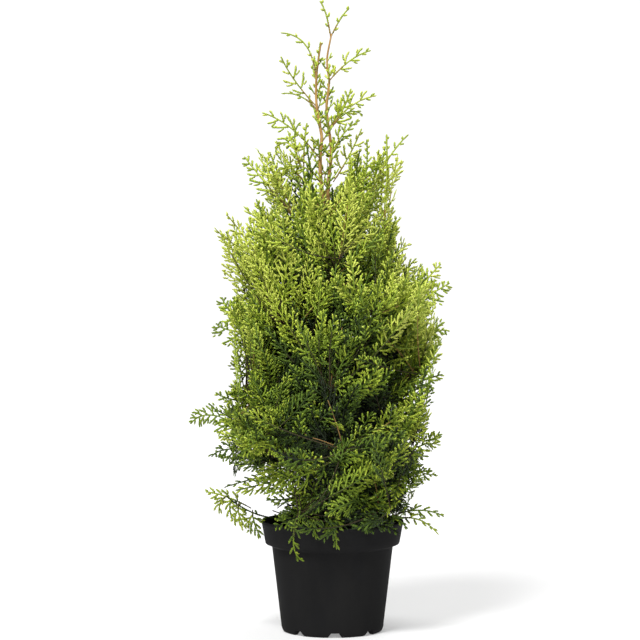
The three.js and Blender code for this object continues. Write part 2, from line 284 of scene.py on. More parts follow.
def barkLimb(name, centres, radii, settings):
    # a curve with the limb's own thickness, made a mesh and given its ridges
    line, widths = resample(centres, radii, settings["step"])
    curve = bpy.data.curves.new(name, "CURVE")
    curve.dimensions = "3D"
    curve.bevel_depth = 1.0
    curve.bevel_resolution = settings["sides"] // 4 - 1
    curve.use_fill_caps = True
    spline = curve.splines.new("POLY")
    spline.points.add(len(line) - 1)
    for point, place, width in zip(spline.points, line, widths):
        point.co = (*place, 1)
        point.radius = width
    selectOnly(addObject(name, curve))
    bpy.ops.object.convert(target="MESH")
    limb = bpy.context.object
    for vertex in limb.data.vertices:
        place = np.array(vertex.co)
        nearest = np.argmin(np.linalg.norm(line - place, axis=1))
        radius = widths[nearest]
        away = place - line[nearest]
        if np.linalg.norm(away) < settings["core"] * radius:
            continue
        around = math.atan2(away[1], away[0])
        close, short = settings["ridges"]
        ridge = noise.noise(Vector((close * math.cos(around), close * math.sin(around), place[2] * short)))
        flake = noise.noise(Vector(place * settings["flakes"]))
        grow = 1 + settings["ridgeDepth"] * ridge + min(settings["flakeDepth"] / radius, 0.1) * flake
        vertex.co = Vector(line[nearest] + away * grow)
    return limb


def joinPieces(pieces):
    clearSelection()
    for piece in pieces:
        piece.select_set(True)
    bpy.context.view_layer.objects.active = pieces[0]
    bpy.ops.object.join()
    return bpy.context.object


def barkMaterial():
    material, tree, shader = startMaterial("barkBrown", (0.08, 0.045, 0.025), 0.85, 0.25)
    streak = objectNoise(tree, 60, 5, (6, 6, 0.7))
    colours = ramp(tree, streak, [
        (0.25, (0.030, 0.018, 0.011)),
        (0.5, (0.085, 0.048, 0.027)),
        (0.75, (0.19, 0.125, 0.080)),
    ])
    young = ramp(tree, streak, [
        (0.3, (0.25, 0.135, 0.040)),
        (0.7, (0.50, 0.31, 0.10)),
    ])
    place = addNode(tree, "ShaderNodeTexCoord")
    split = addNode(tree, "ShaderNodeSeparateXYZ")
    share = addNode(tree, "ShaderNodeMapRange")
    share.inputs["From Min"].default_value = barkSettings["youngFrom"]
    share.inputs["From Max"].default_value = barkSettings["youngTo"]
    mixed = addNode(tree, "ShaderNodeMix", data_type="RGBA")
    wire(tree, place, "Object", split, "Vector")
    wire(tree, split, "Z", share, "Value")
    wire(tree, share, "Result", mixed, "Factor")
    wire(tree, colours, "Color", mixed, "A")
    wire(tree, young, "Color", mixed, "B")
    mixedColour = [output for output in mixed.outputs if output.type == "RGBA"][0]
    tree.links.new(mixedColour, shader.inputs["Base Color"])
    addBump(tree, shader, streak, 0.6, 0.0006)
    return material


boughNames = sorted(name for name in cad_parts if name.startswith("bough_"))
boughLines = {name: ringsOf(name, 2.5 * mm) for name in boughNames}

barkBrown = barkMaterial()
barkPieces = [barkLimb("trunkLimb", trunkCentres, trunkRadii, barkSettings)]
for boughName, (centres, radii) in boughLines.items():
    # the bough's foot is carried on into the trunk, so that no gap shows at the joint
    foot = trunkAt(centres[0][2] - barkSettings["boughFoot"])
    widths = np.concatenate([[radii[0] * barkSettings["footStout"]], radii])
    barkPieces.append(barkLimb(boughName + "Limb", np.vstack([foot, centres]), widths, barkSettings))
trunkBark = settle(joinPieces(barkPieces), "trunk_and_boughs", barkBrown)
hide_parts("trunk", *boughNames)

leaderFoot = trunkAt(leaderCentres[0][2] - barkSettings["leaderFoot"])
leaderLimb = barkLimb(
    "leaderLimb",
    np.vstack([leaderFoot, leaderCentres]),
    np.concatenate([[leaderRadii[0]], leaderRadii]) * barkSettings["leaderStout"],
    barkSettings,
)
leaderBark = settle(leaderLimb, "right_leader_stem", barkBrown)
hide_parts("right_leader")
for piece in (trunkBark, leaderBark):
    for face in piece.data.polygons:
        face.use_smooth = True
print("bark done:", len(trunkBark.data.polygons) + len(leaderBark.data.polygons), "faces")

# the crown: every mass has a limb down its middle, and shoots grow from the limbs to the outline

crown = {
    "seed": 11,
    "sprays": 980,  # that end at the outline
    "innerSprays": 480,  # that end deeper in
    "setBack": 9 * mm,  # how far inside the outline the ends stay on average
    "ragged": 15 * mm,  # and how much that varies
    "mostOut": 9 * mm,
    "innerReach": (0.2, 0.8),  # where the ones deeper in end, as a share of the outline's reach
    "innerLength": 0.8,
    "fringe": 9 * mm,  # how far inside the silhouette the ends stay, which thins its edge
    "overhang": 3 * mm,  # how far a shoot may bow out of the silhouette
    "edgeWidth": 24 * mm,  # sprays this near the silhouette are never dark
    "footSpare": 22 * mm,  # shoots start at least this far inside it
    "lift": 0.45,  # painted light: tones that a spray at the outline is lighter than its height's own
    "lightest": 1.0,  # and the most that it may be
    "edgeDarkest": 0.1,
    "shading": 16 * mm,  # painted shade: a spray is one tone darker this far behind the outline
    "clumps": 17,  # how quickly thick and thin places follow each other, per metre
    "contrast": 1.6,
    "thinnest": 0.18,  # share of the sprays that is left in a thin place
    "longest": 100 * mm,
    "shortest": 58 * mm,
    "bareFoot": 14 * mm,
    "scatter": 8 * mm,  # so that feet don't crowd one place on a limb
    "crowding": 3 * mm,
    "nearest": 0.75,  # least length of a shoot against its spray's
    "lowestRise": -24,  # degrees
    "turnedSide": 0.75,  # how unevenly the sprays face, at the sides and in front
    "turnedFront": 0.45,
    "straightest": 0.45,  # least agreement of a shoot's ends with its heading
    "bow": 0.5,  # share of a shoot's length over which it comes round to its heading
    "leafy": 0.93,  # most of a shoot's length that its spray takes up
    "massSides": 10,
    "limbPoints": 40,
    "bareEnd": 9,  # points at a limb's end where no shoot starts
    "bandHeight": 22 * mm,
    "sectors": 20,
    "notchFill": 0.94,
}

# how shoots grow at each height: rise is how steeply they end, turn and wander how far they stray
# from that in degrees, breadth is half a spray's width against its length, open how far apart its
# branchlets are, and tone how light they are, from 0 to 5, lighter towards the top, partly the young
# growth's own colour and partly painted shade on the lower crown; middle is painted shade taken off
# that in line with the trunk, and edge painted light added at the two sides
growth = {
    "height": (0.15, 0.20, 0.26, 0.33, 0.42, 0.52, 0.60, 0.68),
    "rise": (-8, 2, 18, 36, 50, 60, 68, 74),
    "turn": (46, 44, 42, 38, 34, 31, 27, 23),
    "wander": (22, 22, 21, 18, 16, 14, 12, 10),
    "breadth": (0.30, 0.30, 0.29, 0.29, 0.28, 0.27, 0.26, 0.24),
    "open": (1.0, 1.0, 1.0, 1.0, 1.05, 1.1, 1.15, 1.3),
    "tone": (1.4, 1.9, 2.2, 2.4, 2.8, 3.7, 4.3, 4.5),
    "middle": (0, -0.1, 0.4, 0.85, 0.7, 0.1, 0, 0),
    "edge": (0.5, 0.7, 1.0, 1.0, 1.0, 0.9, 0.8, 0.4),
    "vary": (0.8, 0.9, 0.9, 0.75, 0.65, 0.6, 0.5, 0.4),
    "darkest": (-1, -1, -1, 0, 0.6, 1.4, 2.2, 2.6),
    "dense": (1.0, 1.0, 1.0, 1.0, 1.0, 0.9, 0.72, 0.5),
}

# how far the crown reaches to the left and right at each height, in millimetres
silhouette = {
    "left": (
        (138, 100), (170, 118), (200, 138), (230, 152), (250, 140), (282, 166), (320, 152), (346, 122),
        (362, 127), (405, 150), (426, 160), (470, 122), (489, 126), (505, 150), (540, 152), (565, 132),
        (585, 104), (640, 115),
    ),
    "right": (
        (138, 100), (170, 116), (186, 112), (202, 108), (218, 132), (235, 130), (266, 144), (314, 128),
        (362, 144), (410, 155), (426, 136), (440, 146), (470, 154), (485, 146), (505, 116), (537, 98),
        (600, 95), (650, 96),
    ),
}

# the see-through opening low on the left, over the pot's rim
opening = {"middle": (-86 * mm, 180 * mm), "halfWidth": 40 * mm, "halfHeight": 22 * mm}

# both leaders stand bare between their own sprays from this height up
leadersShow = {"from": 592 * mm, "aside": 11 * mm, "halfWidth": 21 * mm}

# how far shoots stay above the rim, outside it, above the soil and inside the wall
potClearance = {"above": 2 * mm, "outside": 4 * mm, "soil": 8 * mm, "inside": 14 * mm}

# which way sprays look: outwards, and to the front, or to the back behind the trunk
facing = {"outward": 0.55, "frontOrBack": 0.6, "up": 0.2, "backFrom": 0.15}

rng = np.random.default_rng(crown["seed"])
massNames = sorted(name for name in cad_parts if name.startswith("foliage_"))
potLow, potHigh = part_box("pot")
rimRadius = (potHigh.x - potLow.x) / 2
soilLow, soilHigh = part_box("potting_soil")
soilTop = soilHigh.z


def massLine(name):
    # the middle line of a mass, from its root beside the trunk to its tip
    points = nodePoints(name)
    away = np.linalg.norm((points - trunkAt(points[:, 2]))[:, :2], axis=1)
    order = np.argsort(away)
    rings = points[order[1:-1]]
    whole = len(rings) // crown["massSides"] * crown["massSides"]
    middles = rings[:whole].reshape(-1, crown["massSides"], 3).mean(axis=1)
    return np.vstack([points[order[0]], middles, points[order[-1]]])


def limbLine(name):
    # a mass's limb: out of the trunk, up its bough if it has one, and along the mass
    line = massLine(name)
    bough = boughLines.get(name.replace("foliage_", "bough_"))
    if bough is not None:
        return np.vstack([bough[0][-1], line])
    outward = line[1] - trunkAt(line[1][2])
    start = trunkAt(line[0][2] - 0.9 * np.linalg.norm(outward[:2]))
    bend = blend(start, line[0], 0.55) + outward * 0.1
    return np.vstack([start, bend, line])


def outwardFrom(places):
    # level direction away from the trunk, and the distance
    away = places - trunkAt(places[..., 2])
    away[..., 2] = 0
    return unit(away), np.linalg.norm(away, axis=-1)


limbs = {name: pointsAlong(limbLine(name), crown["limbPoints"]) for name in massNames}
stems = np.vstack([pointsAlong(trunkCentres, 300), pointsAlong(leaderCentres, 200)])
allLimbs = np.vstack([*limbs.values(), stems])


def crownOutline():
    # how far the masses reach, in bands of height and sectors round the trunk
    points = []
    for name in massNames:
        triangles = nodeTriangles(name)
        for mix in ((1, 0, 0), (0.34, 0.33, 0.33), (0.5, 0.5, 0), (0, 0.5, 0.5), (0.5, 0, 0.5)):
            points.append(np.einsum("j,ijk->ik", np.array(mix), triangles))
    points = np.vstack(points)
    outward, reach = outwardFrom(points)
    low, high = points[:, 2].min(), points[:, 2].max()
    bands = int((high - low) / crown["bandHeight"])
    band = np.clip(((points[:, 2] - low) / (high - low) * bands).astype(int), 0, bands - 1)
    turn = np.arctan2(outward[:, 1], outward[:, 0]) / (2 * math.pi)
    sector = np.floor(turn * crown["sectors"]).astype(int) % crown["sectors"]
    most = np.zeros((bands, crown["sectors"]))
    np.maximum.at(most, (band, sector), reach)
    level = np.pad(most, ((1, 1), (0, 0)), mode="edge")
    # notches between the masses are nearly filled, as shoots from both sides grow into them
    beside = np.maximum(level[:-2], level[2:])
    around = np.maximum(np.roll(most, 1, axis=1), np.roll(most, -1, axis=1))
    filled = crown["notchFill"] * np.minimum(beside, np.maximum(around, most))
    return low, high, np.maximum(most, filled)


outlineLow, outlineHigh, outlineReach = crownOutline()


def reachAt(height, azimuth):
    bands, sectors = outlineReach.shape
    band = np.clip((height - outlineLow) / (outlineHigh - outlineLow) * bands - 0.5, 0, bands - 1)
    sector = azimuth / (2 * math.pi) * sectors - 0.5
    b, s = int(band), math.floor(sector)
    nextBand = min(b + 1, bands - 1)
    lower = blend(outlineReach[b, s % sectors], outlineReach[b, (s + 1) % sectors], sector - s)
    upper = blend(outlineReach[nextBand, s % sectors], outlineReach[nextBand, (s + 1) % sectors], sector - s)
    return blend(lower, upper, band - b)


def sideReach(place):
    heights, reaches = np.array(silhouette["left" if place[0] < 0 else "right"]).T * mm
    return np.interp(place[2], heights, reaches)


def insideSilhouette(place, spare=0):
    return abs(place[0]) < sideReach(place) - spare


def styleAt(height):
    return {key: np.interp(height, growth["height"], values) for key, values in growth.items()}


def bent(start, bend, end, share):
    # a point on the curve that a shoot follows
    return (1 - share) ** 2 * start + 2 * share * (1 - share) * bend + share ** 2 * end


def staysClear(shoot):
    # false for a shoot that would close the opening, hide the leaders or go through the pot
    for share in (0.15, 0.3, 0.5, 0.7, 0.85, 1.0):
        place = bent(shoot["start"], shoot["bend"], shoot["end"], share)
        besideStem = place[0] - trunkAt(place[2])[0] - leadersShow["aside"]
        if shoot["kind"] != "clear":
            if place[2] > leadersShow["from"] and abs(besideStem) < leadersShow["halfWidth"]:
                return False
            if not insideSilhouette(place, -crown["overhang"]):
                return False
        across = (place[0] - opening["middle"][0]) / opening["halfWidth"]
        upwards = (place[2] - opening["middle"][1]) / opening["halfHeight"]
        if across ** 2 + upwards ** 2 < 1:
            return False
        fromAxis = np.hypot(place[0], place[1])
        if place[2] < potHigh.z + potClearance["above"] and fromAxis < rimRadius + potClearance["outside"]:
            return place[2] > soilTop + potClearance["soil"] and fromAxis < rimRadius - potClearance["inside"]
    return True


shoots = []


def addShoot(start, end, heading, face, length, style, tone, kind):
    span = np.linalg.norm(end - start)
    shoot = {
        "start": start, "bend": end - unit(heading) * span * crown["bow"], "end": end, "face": unit(face),
        "span": span, "spray": min(length, span * crown["leafy"]), "breadth": style["breadth"],
        "open": style["open"], "tone": tone, "kind": kind,
    }
    if staysClear(shoot):
        shoots.append(shoot)
        return True
    return False


def spreadFace(outward, amount):
    # which way a spray's flat side looks
    frontOrBack = np.array([0, -1.0 if outward[1] < facing["backFrom"] else 1.0, facing["up"]])
    return outward * facing["outward"] + frontOrBack * facing["frontOrBack"] + amount * rng.normal(size=3)


def growInCrown(isInner):
    # one shoot that ends at, or inside, the crown's outline
    height = rng.uniform(outlineLow, outlineHigh)
    azimuth = rng.random() * 2 * math.pi
    reach = reachAt(height, azimuth)
    if rng.random() > reach / outlineReach.max():
        return False  # fewer where the crown is narrow
    outward = np.array([math.cos(azimuth), math.sin(azimuth), 0])
    if isInner:
        away = reach * rng.uniform(*crown["innerReach"])
    else:
        away = reach - max(rng.normal(crown["setBack"], crown["ragged"]), -crown["mostOut"])
    end = trunkAt(height) + outward * away
    style = styleAt(height)
    if not insideSilhouette(end, crown["fringe"] * abs(rng.normal())) or rng.random() > style["dense"]:
        return False
    thickness = np.clip(0.5 + crown["contrast"] * noise.noise(Vector(end * crown["clumps"])), 0, 1)
    if not isInner and rng.random() > blend(crown["thinnest"], 1.0, thickness):
        return False
    rise = math.radians(max(style["rise"] + style["wander"] * rng.normal(), crown["lowestRise"]))
    turn = math.radians(style["turn"] * rng.normal())
    sideways = np.array([-outward[1], outward[0], 0])
    heading = (outward * math.cos(turn) + sideways * math.sin(turn)) * math.cos(rise) + up * math.sin(rise)
    length = rng.uniform(crown["shortest"], crown["longest"]) * (crown["innerLength"] if isInner else 1.0)
    wanted = end - heading * (length + crown["bareFoot"])
    distance = np.linalg.norm(feet - wanted, axis=1) + crown["scatter"] * rng.normal(size=len(feet))
    distance += crown["crowding"] * footUses
    tooNear = np.maximum(0, crown["nearest"] * length - np.linalg.norm(feet - end, axis=1))
    foot = int(np.argmin(distance + 2 * tooNear))
    start = feet[foot]
    if unit(end - start) @ heading < crown["straightest"]:
        return False  # it would have to bend back on itself
    # painted light and shade: lighter at the outline by lift, one tone darker for each shading length deeper
    # in, and random variation on top
    tone = style["tone"] + crown["lift"] - (reach - away) / crown["shading"] + style["vary"] * rng.normal()
    aside = min(abs(end[0] - trunkAt(height)[0]) / sideReach(end), 1)
    # painted shade in line with the trunk and painted light at the left and right sides
    tone += style["edge"] * aside ** 2 - style["middle"] * (1 - aside)
    # the painted light has a cap and the painted shade a floor, which is higher near the silhouette
    atEdge = not insideSilhouette(end, crown["edgeWidth"])
    tone = min(tone, style["tone"] + crown["lightest"] + style["edge"] * aside ** 2)
    tone = max(tone, style["tone"] - crown["edgeDarkest"] if atEdge else style["darkest"])
    face = spreadFace(outward, blend(crown["turnedSide"], crown["turnedFront"], abs(outward[1])))
    grown = addShoot(start, end, heading, face, length, style, tone, "inner" if isInner else "outer")
    footUses[max(foot - 2, 0):foot + 3] += grown
    return grown


# shoots start on the inner part of a limb, well inside the crown
innerLimbs = np.vstack([*(limb[:-crown["bareEnd"]] for limb in limbs.values()), stems])
feet = np.array([foot for foot in innerLimbs if insideSilhouette(foot, crown["footSpare"])])
footUses = np.zeros(len(feet))
for isInner, amount in ((False, crown["sprays"]), (True, crown["innerSprays"])):
    grown = 0
    while grown < amount:
        grown += growInCrown(isInner)


def nearestOf(points, place):
    return points[int(np.argmin(np.linalg.norm(points - place, axis=1)))]


# short dark growth low round the trunk, out over the rim
rimGrowth = {
    "amount": 70,
    "reach": (0.55, 1.15),  # share of the rim's radius
    "low": 6 * mm,  # over the rim
    "high": 45 * mm,
    "length": 50 * mm,
    "shortest": 25 * mm,
    "droop": 0.25,
    "turned": 0.5,
    "tone": 0.9,
    "vary": 0.7,
}
for _ in range(rimGrowth["amount"]):
    azimuth = rng.random() * 2 * math.pi
    outward = np.array([math.cos(azimuth), math.sin(azimuth), 0])
    end = outward * rng.uniform(*rimGrowth["reach"]) * rimRadius
    end = end + up * rng.uniform(potHigh.z + rimGrowth["low"], potHigh.z + rimGrowth["high"])
    start = nearestOf(feet, end - outward * rimGrowth["length"])
    if insideSilhouette(end) and np.linalg.norm(end - start) > rimGrowth["shortest"]:
        face = spreadFace(outward, rimGrowth["turned"])
        addShoot(start, end, outward - rimGrowth["droop"] * up, face, crown["shortest"],
                 styleAt(end[2]), rimGrowth["tone"] + rimGrowth["vary"] * rng.normal(), "inner")

# each limb's own end, as a spray that reaches the mass's tip; points are how many of the limb's
# points it takes up
limbEnds = {"points": 14, "besideLeaders": 26, "lift": 20 * mm, "turned": 0.3, "lighter": 0.5}
for limb in limbs.values():
    tip = limb[-1]
    if not insideSilhouette(tip):
        continue
    style = styleAt(tip[2])
    start = limb[-limbEnds["besideLeaders"] if tip[2] > leadersShow["from"] else -limbEnds["points"]]
    heading = tip - start + up * math.sin(math.radians(style["rise"])) * limbEnds["lift"]
    face = spreadFace(outwardFrom(tip)[0], limbEnds["turned"])
    addShoot(start, tip, heading, face, crown["longest"], style, style["tone"] + limbEnds["lighter"], "clear")
print("shoots in the crown:", len(shoots))

# the open sprays that stand clear on the leaders, and the frond that hangs over the rim

openStyles = {
    "sprig": {"breadth": 0.14, "open": 2.2, "tone": 4.0},
    "spray": {"breadth": 0.27, "open": 1.6, "tone": 4.1},
    "frond": {"breadth": 0.21, "open": 1.3, "tone": 2.7},
}

frondReach = 0.86  # of its length in the frame
frondShift = np.array((18, -9, 9)) * mm  # so that its tip stands off the pot's wall

# more of them where the leaders stand out of the crown: root, middle and tip in millimetres, then
# breadth and open as in growth
leaderSprays = {
    "leftTipShoot": ((-22, 2, 718), (-20, 2, 750), (-16, 2, 783), 0.09, 2.0),
    "leftUpSpray": ((-25, 1, 699), (-42, 3, 712), (-66, 5, 716), 0.14, 2.6),
    "leftFanHigh": ((-33, -4, 628), (-50, -7, 655), (-43, -8, 677), 0.2, 1.8),
    "leftFanMiddle": ((-33, -4, 622), (-37, -8, 650), (-34, -10, 676), 0.2, 1.2),
    "leftFanLow": ((-33, -4, 630), (-55, -9, 648), (-75, -12, 645), 0.2, 1.3),
    "leftLow": ((-17, -4, 606), (-40, -9, 619), (-68, -12, 616), 0.22, 1.2),
    "rightFanHigh": ((-1, -4, 674), (13, -7, 694), (24, -9, 721), 0.34, 1.0),
    "rightFanLow": ((-1, -4, 672), (18, -8, 690), (39, -10, 688), 0.3, 1.1),
    "rightLow": ((0, -4, 640), (14, -8, 662), (35, -10, 680), 0.3, 1.1),
    "rightSpire": ((38, -14, 560), (43, -16, 606), (45, -16, 654), 0.12, 1.0),
    "rightSpireLow": ((12, -12, 560), (20, -14, 596), (24, -14, 634), 0.14, 1.0),
    "rightTall": ((60, -22, 510), (71, -24, 590), (71, -22, 661), 0.07, 1.6),
    "rightTallSide": ((58, -20, 600), (75, -22, 632), (99, -24, 661), 0.16, 2.2),
    "leftShoulder": ((-76, -6, 570), (-94, -8, 604), (-116, -9, 632), 0.26, 1.2),
    "leftShoulderUp": ((-72, -8, 575), (-84, -11, 608), (-82, -12, 638), 0.2, 1.3),
}

# and low down, with their tone: the arch on the left with sprays that hang from it, and short
# ones over the rim
lowSprays = {
    "archTip": ((-108, -18, 166), (-140, -24, 182), (-167, -28, 189), 0.30, 1.0, 3.9),
    "archHang": ((-124, -22, 175), (-124, -30, 160), (-115, -34, 142), 0.52, 0.8, 4.0),
    "archHangMiddle": ((-131, -20, 178), (-136, -26, 170), (-133, -28, 153), 0.5, 0.8, 3.7),
    "archHangInner": ((-106, -20, 164), (-104, -30, 150), (-96, -34, 130), 0.5, 0.8, 3.3),
    "archHangOuter": ((-140, -24, 183), (-148, -30, 176), (-150, -32, 162), 0.5, 0.9, 4.0),
    "archOver": ((-60, -24, 212), (-98, -30, 208), (-142, -30, 196), 0.16, 1.0, 2.3),
    "rimLeft": ((-34, -66, 160), (-28, -88, 160), (-22, -103, 138), 0.36, 0.9, 2.9),
    "rimInner": ((-18, -66, 166), (-44, -84, 168), (-70, -86, 166), 0.36, 0.9, 2.6),
    "rimInnerUp": ((-14, -62, 172), (-34, -84, 188), (-58, -88, 200), 0.36, 0.9, 2.7),
    "rimInnerSteep": ((-10, -60, 176), (-24, -86, 198), (-36, -92, 222), 0.32, 0.9, 3.1),
    "rimInnerFar": ((-26, -64, 176), (-56, -80, 184), (-86, -78, 184), 0.26, 0.9, 2.5),
    "rimMiddle": ((-12, -62, 158), (0, -97, 155), (5, -107, 125), 0.3, 0.9, 2.6),
    "rimRight": ((22, -64, 158), (38, -90, 156), (45, -99, 143), 0.36, 0.9, 1.7),
    "tipRight": ((80, -30, 158), (116, -40, 166), (146, -44, 159), 0.2, 1.2, 3.0),
    "tipRightLow": ((84, -34, 154), (114, -44, 154), (139, -48, 136), 0.2, 1.1, 3.6),
}

# fans that stand out from the crown's two sides, and one in front
edgeSprays = {
    "leftWing": ((-104, -10, 498), (-132, -14, 518), (-155, -16, 538), 0.30, 1.3),
    "leftWingUp": ((-106, -8, 512), (-124, -12, 536), (-140, -14, 556), 0.30, 1.3),
    "leftMiddle": ((-102, -12, 386), (-130, -16, 402), (-154, -18, 412), 0.34, 1.2),
    "leftMiddleUp": ((-104, -10, 398), (-128, -14, 424), (-146, -16, 446), 0.32, 1.2),
    "leftUnder": ((-92, -16, 326), (-114, -22, 350), (-127, -24, 376), 0.34, 1.0),
    "leftArm": ((-106, -12, 262), (-150, -16, 288), (-188, -18, 279), 0.26, 1.1),
    "leftArmHigh": ((-94, -14, 284), (-124, -18, 310), (-154, -20, 320), 0.30, 1.1),
    "leftArmLow": ((-100, -20, 236), (-132, -26, 246), (-160, -28, 236), 0.30, 1.1),
    "rightWing": ((96, -12, 426), (126, -16, 448), (154, -18, 465), 0.34, 1.2),
    "rightWingUp": ((100, -10, 444), (124, -14, 468), (143, -16, 490), 0.30, 1.2),
    "rightMiddle": ((96, -12, 372), (128, -16, 392), (154, -18, 402), 0.34, 1.2),
    "rightArm": ((90, -12, 316), (120, -16, 336), (145, -18, 344), 0.36, 1.1),
    "rightArmLow": ((86, -16, 224), (118, -20, 250), (142, -22, 268), 0.36, 1.1),
    "rightFoot": ((84, -18, 204), (112, -22, 216), (137, -24, 212), 0.34, 1.1),
    "frontMiddle": ((6, -78, 224), (10, -112, 238), (15, -122, 268), 0.38, 0.8),
}

# the arch's bare stem, laid last
archStem = ((-34, -30, 164), (-86, -24, 155), (-140, -24, 182), 0.02, 2.6, 1.5)

openSprays = {
    "leafy": 0.94,  # share of a shoot that its spray takes up
    "face": (0.1, -1.0, 0.15),  # their flat sides look to the front
    "turned": 0.15,
    "middlePart": (0.3, 0.7),  # shares of a node's length between which its middle is found
    "middleShift": 0.7,  # how far the frond's middle follows its tip
    "leaderTone": 3.9,
    "edgeTone": 0.6,  # painted light: tones lighter than the crown at the same height, for those at the sides
    "sideFrom": 50 * mm,
    "vary": 0.3,
    "frameDrop": 8 * mm,  # they hold on to a limb or stem this far below their root
    "leaderDrop": 6 * mm,
}


def addOpenShoot(root, middle, tip, breadth, spread, tone):
    span = np.linalg.norm(middle - root) + np.linalg.norm(tip - middle)
    face = unit(np.array(openSprays["face"]) + openSprays["turned"] * rng.normal(size=3))
    shoots.append({
        "start": root, "bend": 2 * middle - (root + tip) / 2, "end": tip, "face": face,
        "span": span, "spray": span * openSprays["leafy"], "breadth": breadth,
        "open": spread, "tone": tone, "kind": "clear",
    })


clearNames = sorted(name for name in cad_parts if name.split("_")[0] in openStyles)
for clearName in clearNames:
    isFrond = clearName.startswith("frond")
    style = openStyles[clearName.split("_")[0]]
    points = nodePoints(clearName)
    if isFrond:
        root = points[np.argmax(points[:, 2])]
    elif "top" in clearName:
        root = points[np.argmin(points[:, 2])]
    else:
        root = points[np.argmin(outwardFrom(points)[1])]
    tip = points[np.argmax(np.linalg.norm(points - root, axis=1))]
    if isFrond:
        tip = blend(root, tip, frondReach) + frondShift
    along = (points - root) @ unit(tip - root)
    near, far = openSprays["middlePart"]
    middle = points[(along > near * along.max()) & (along < far * along.max())].mean(axis=0)
    if isFrond:
        middle = middle + frondShift * openSprays["middleShift"]
    hold = nearestOf(allLimbs if isFrond else stems, root - up * openSprays["frameDrop"])
    addOpenShoot(hold, middle, tip, style["breadth"], style["open"], style["tone"])
for *line, breadth, spread in leaderSprays.values():
    root, middle, tip = np.array(line) * mm
    hold = nearestOf(allLimbs, root - up * openSprays["leaderDrop"])
    tone = openSprays["leaderTone"] + openSprays["vary"] * rng.normal()
    addOpenShoot(hold, middle, tip, breadth, spread, tone)
for *line, breadth, spread, tone in lowSprays.values():
    addOpenShoot(*np.array(line) * mm, breadth, spread, tone)
for *line, breadth, spread in edgeSprays.values():
    root, middle, tip = np.array(line) * mm
    # painted light on the fans at the sides
    lighter = openSprays["edgeTone"] if abs(tip[0]) > openSprays["sideFrom"] else 0
    tone = styleAt(tip[2])["tone"] + lighter + openSprays["vary"] * rng.normal()
    addOpenShoot(nearestOf(feet, root), middle, tip, breadth, spread, tone)
*line, breadth, spread, tone = archStem
addOpenShoot(*np.array(line) * mm, breadth, spread, tone)

# short side shoots up both leaders, so that they are clothed from the front and the back too
leaderShoots = {
    "spacing": 8.5 * mm,
    "lowest": 0.57,
    "bareTip": 30 * mm,
    "heights": (0.57, 0.63, 0.70, 0.76),
    "lengths": (58, 50, 40, 24),  # in millimetres, at these heights
    "sideways": 0.4,  # share of that for those that point to the sides
    "turn": 137.5,  # degrees from one to the next
    "lean": 36,
    "leanVary": 8,
    "upright": 0.35,
    "turned": 0.3,
    "breadth": 0.30,
    "open": 1.1,
    "tone": 3.7,
    "vary": 0.4,
}
for stem in (pointsAlong(trunkCentres, 400), pointsAlong(leaderCentres, 300)):
    height = leaderShoots["lowest"]
    turn = rng.random() * 360
    while height < stem[:, 2].max() - leaderShoots["bareTip"]:
        start = stem[int(np.argmin(np.abs(stem[:, 2] - height)))]
        azimuth = math.radians(turn)
        most = np.interp(height, leaderShoots["heights"], leaderShoots["lengths"]) * mm
        length = most * blend(1.0, leaderShoots["sideways"], abs(math.cos(azimuth)))
        lean = math.radians(leaderShoots["lean"] + leaderShoots["leanVary"] * rng.normal())
        outward = np.array([math.cos(azimuth), math.sin(azimuth), 0])
        heading = outward * math.sin(lean) + up * math.cos(lean)
        face = spreadFace(outward, leaderShoots["turned"])
        tone = leaderShoots["tone"] + leaderShoots["vary"] * rng.normal()
        addShoot(start, start + heading * length, heading + up * leaderShoots["upright"], face, length,
                 leaderShoots, tone, "clear")
        height += leaderShoots["spacing"] * rng.uniform(0.8, 1.3)
        turn += leaderShoots["turn"]
print("shoots with the leaders' own:", len(shoots))

# one scale leaf, modelled once: a kite with a ridge, pointed at both ends

scaleLeaf = {
    "widest": 0.45,  # share of the length where it is widest
    "thick": 0.20,  # thickness against width
    "pitch": 2.7 * mm,
    "overlap": 2.4,
    "tipOverlap": 0.8,  # share of that for the last one on a branchlet
    "width": 3.35 * mm,
    "rankWidths": [0.82, 1.0, 0.88],  # share of that on axes, side branchlets and short ones
}


def makeScaleLeaf(sizes):
    # a three-sided cone: its point is one end, a corner of its foot the other, and the two
    # corners left are drawn up to the widest place
    clearSelection()
    bpy.ops.mesh.primitive_cone_add(vertices=3, radius1=0.5, radius2=0, depth=1, end_fill_type="NGON")
    leaf = bpy.context.object
    corners = leaf.data.vertices
    apex = max(corners, key=lambda corner: corner.co.z)
    foot = [corner for corner in corners if corner.index != apex.index]
    base = max(foot, key=lambda corner: corner.co.y)
    sides = sorted((corner for corner in foot if corner.index != base.index), key=lambda corner: corner.co.x)
    apex.co = (0, 1, 0)
    base.co = (0, 0, 0)
    sides[0].co = (-0.5, sizes["widest"], -sizes["thick"])
    sides[1].co = (0.5, sizes["widest"], -sizes["thick"])
    startEdit()
    bpy.ops.mesh.quads_convert_to_tris()
    finishEdit()
    shape = np.array([corner.co for corner in leaf.data.vertices])
    leafFaces = np.array([list(face.vertices) for face in leaf.data.polygons])
    bpy.data.objects.remove(leaf)
    return shape, leafFaces


leafShape, leafFaces = makeScaleLeaf(scaleLeaf)
print("scale leaf:", len(leafShape), "points,", len(leafFaces), "faces")

# a spray in its own flat plane: an axis, side branchlets by turns, and short ones on those

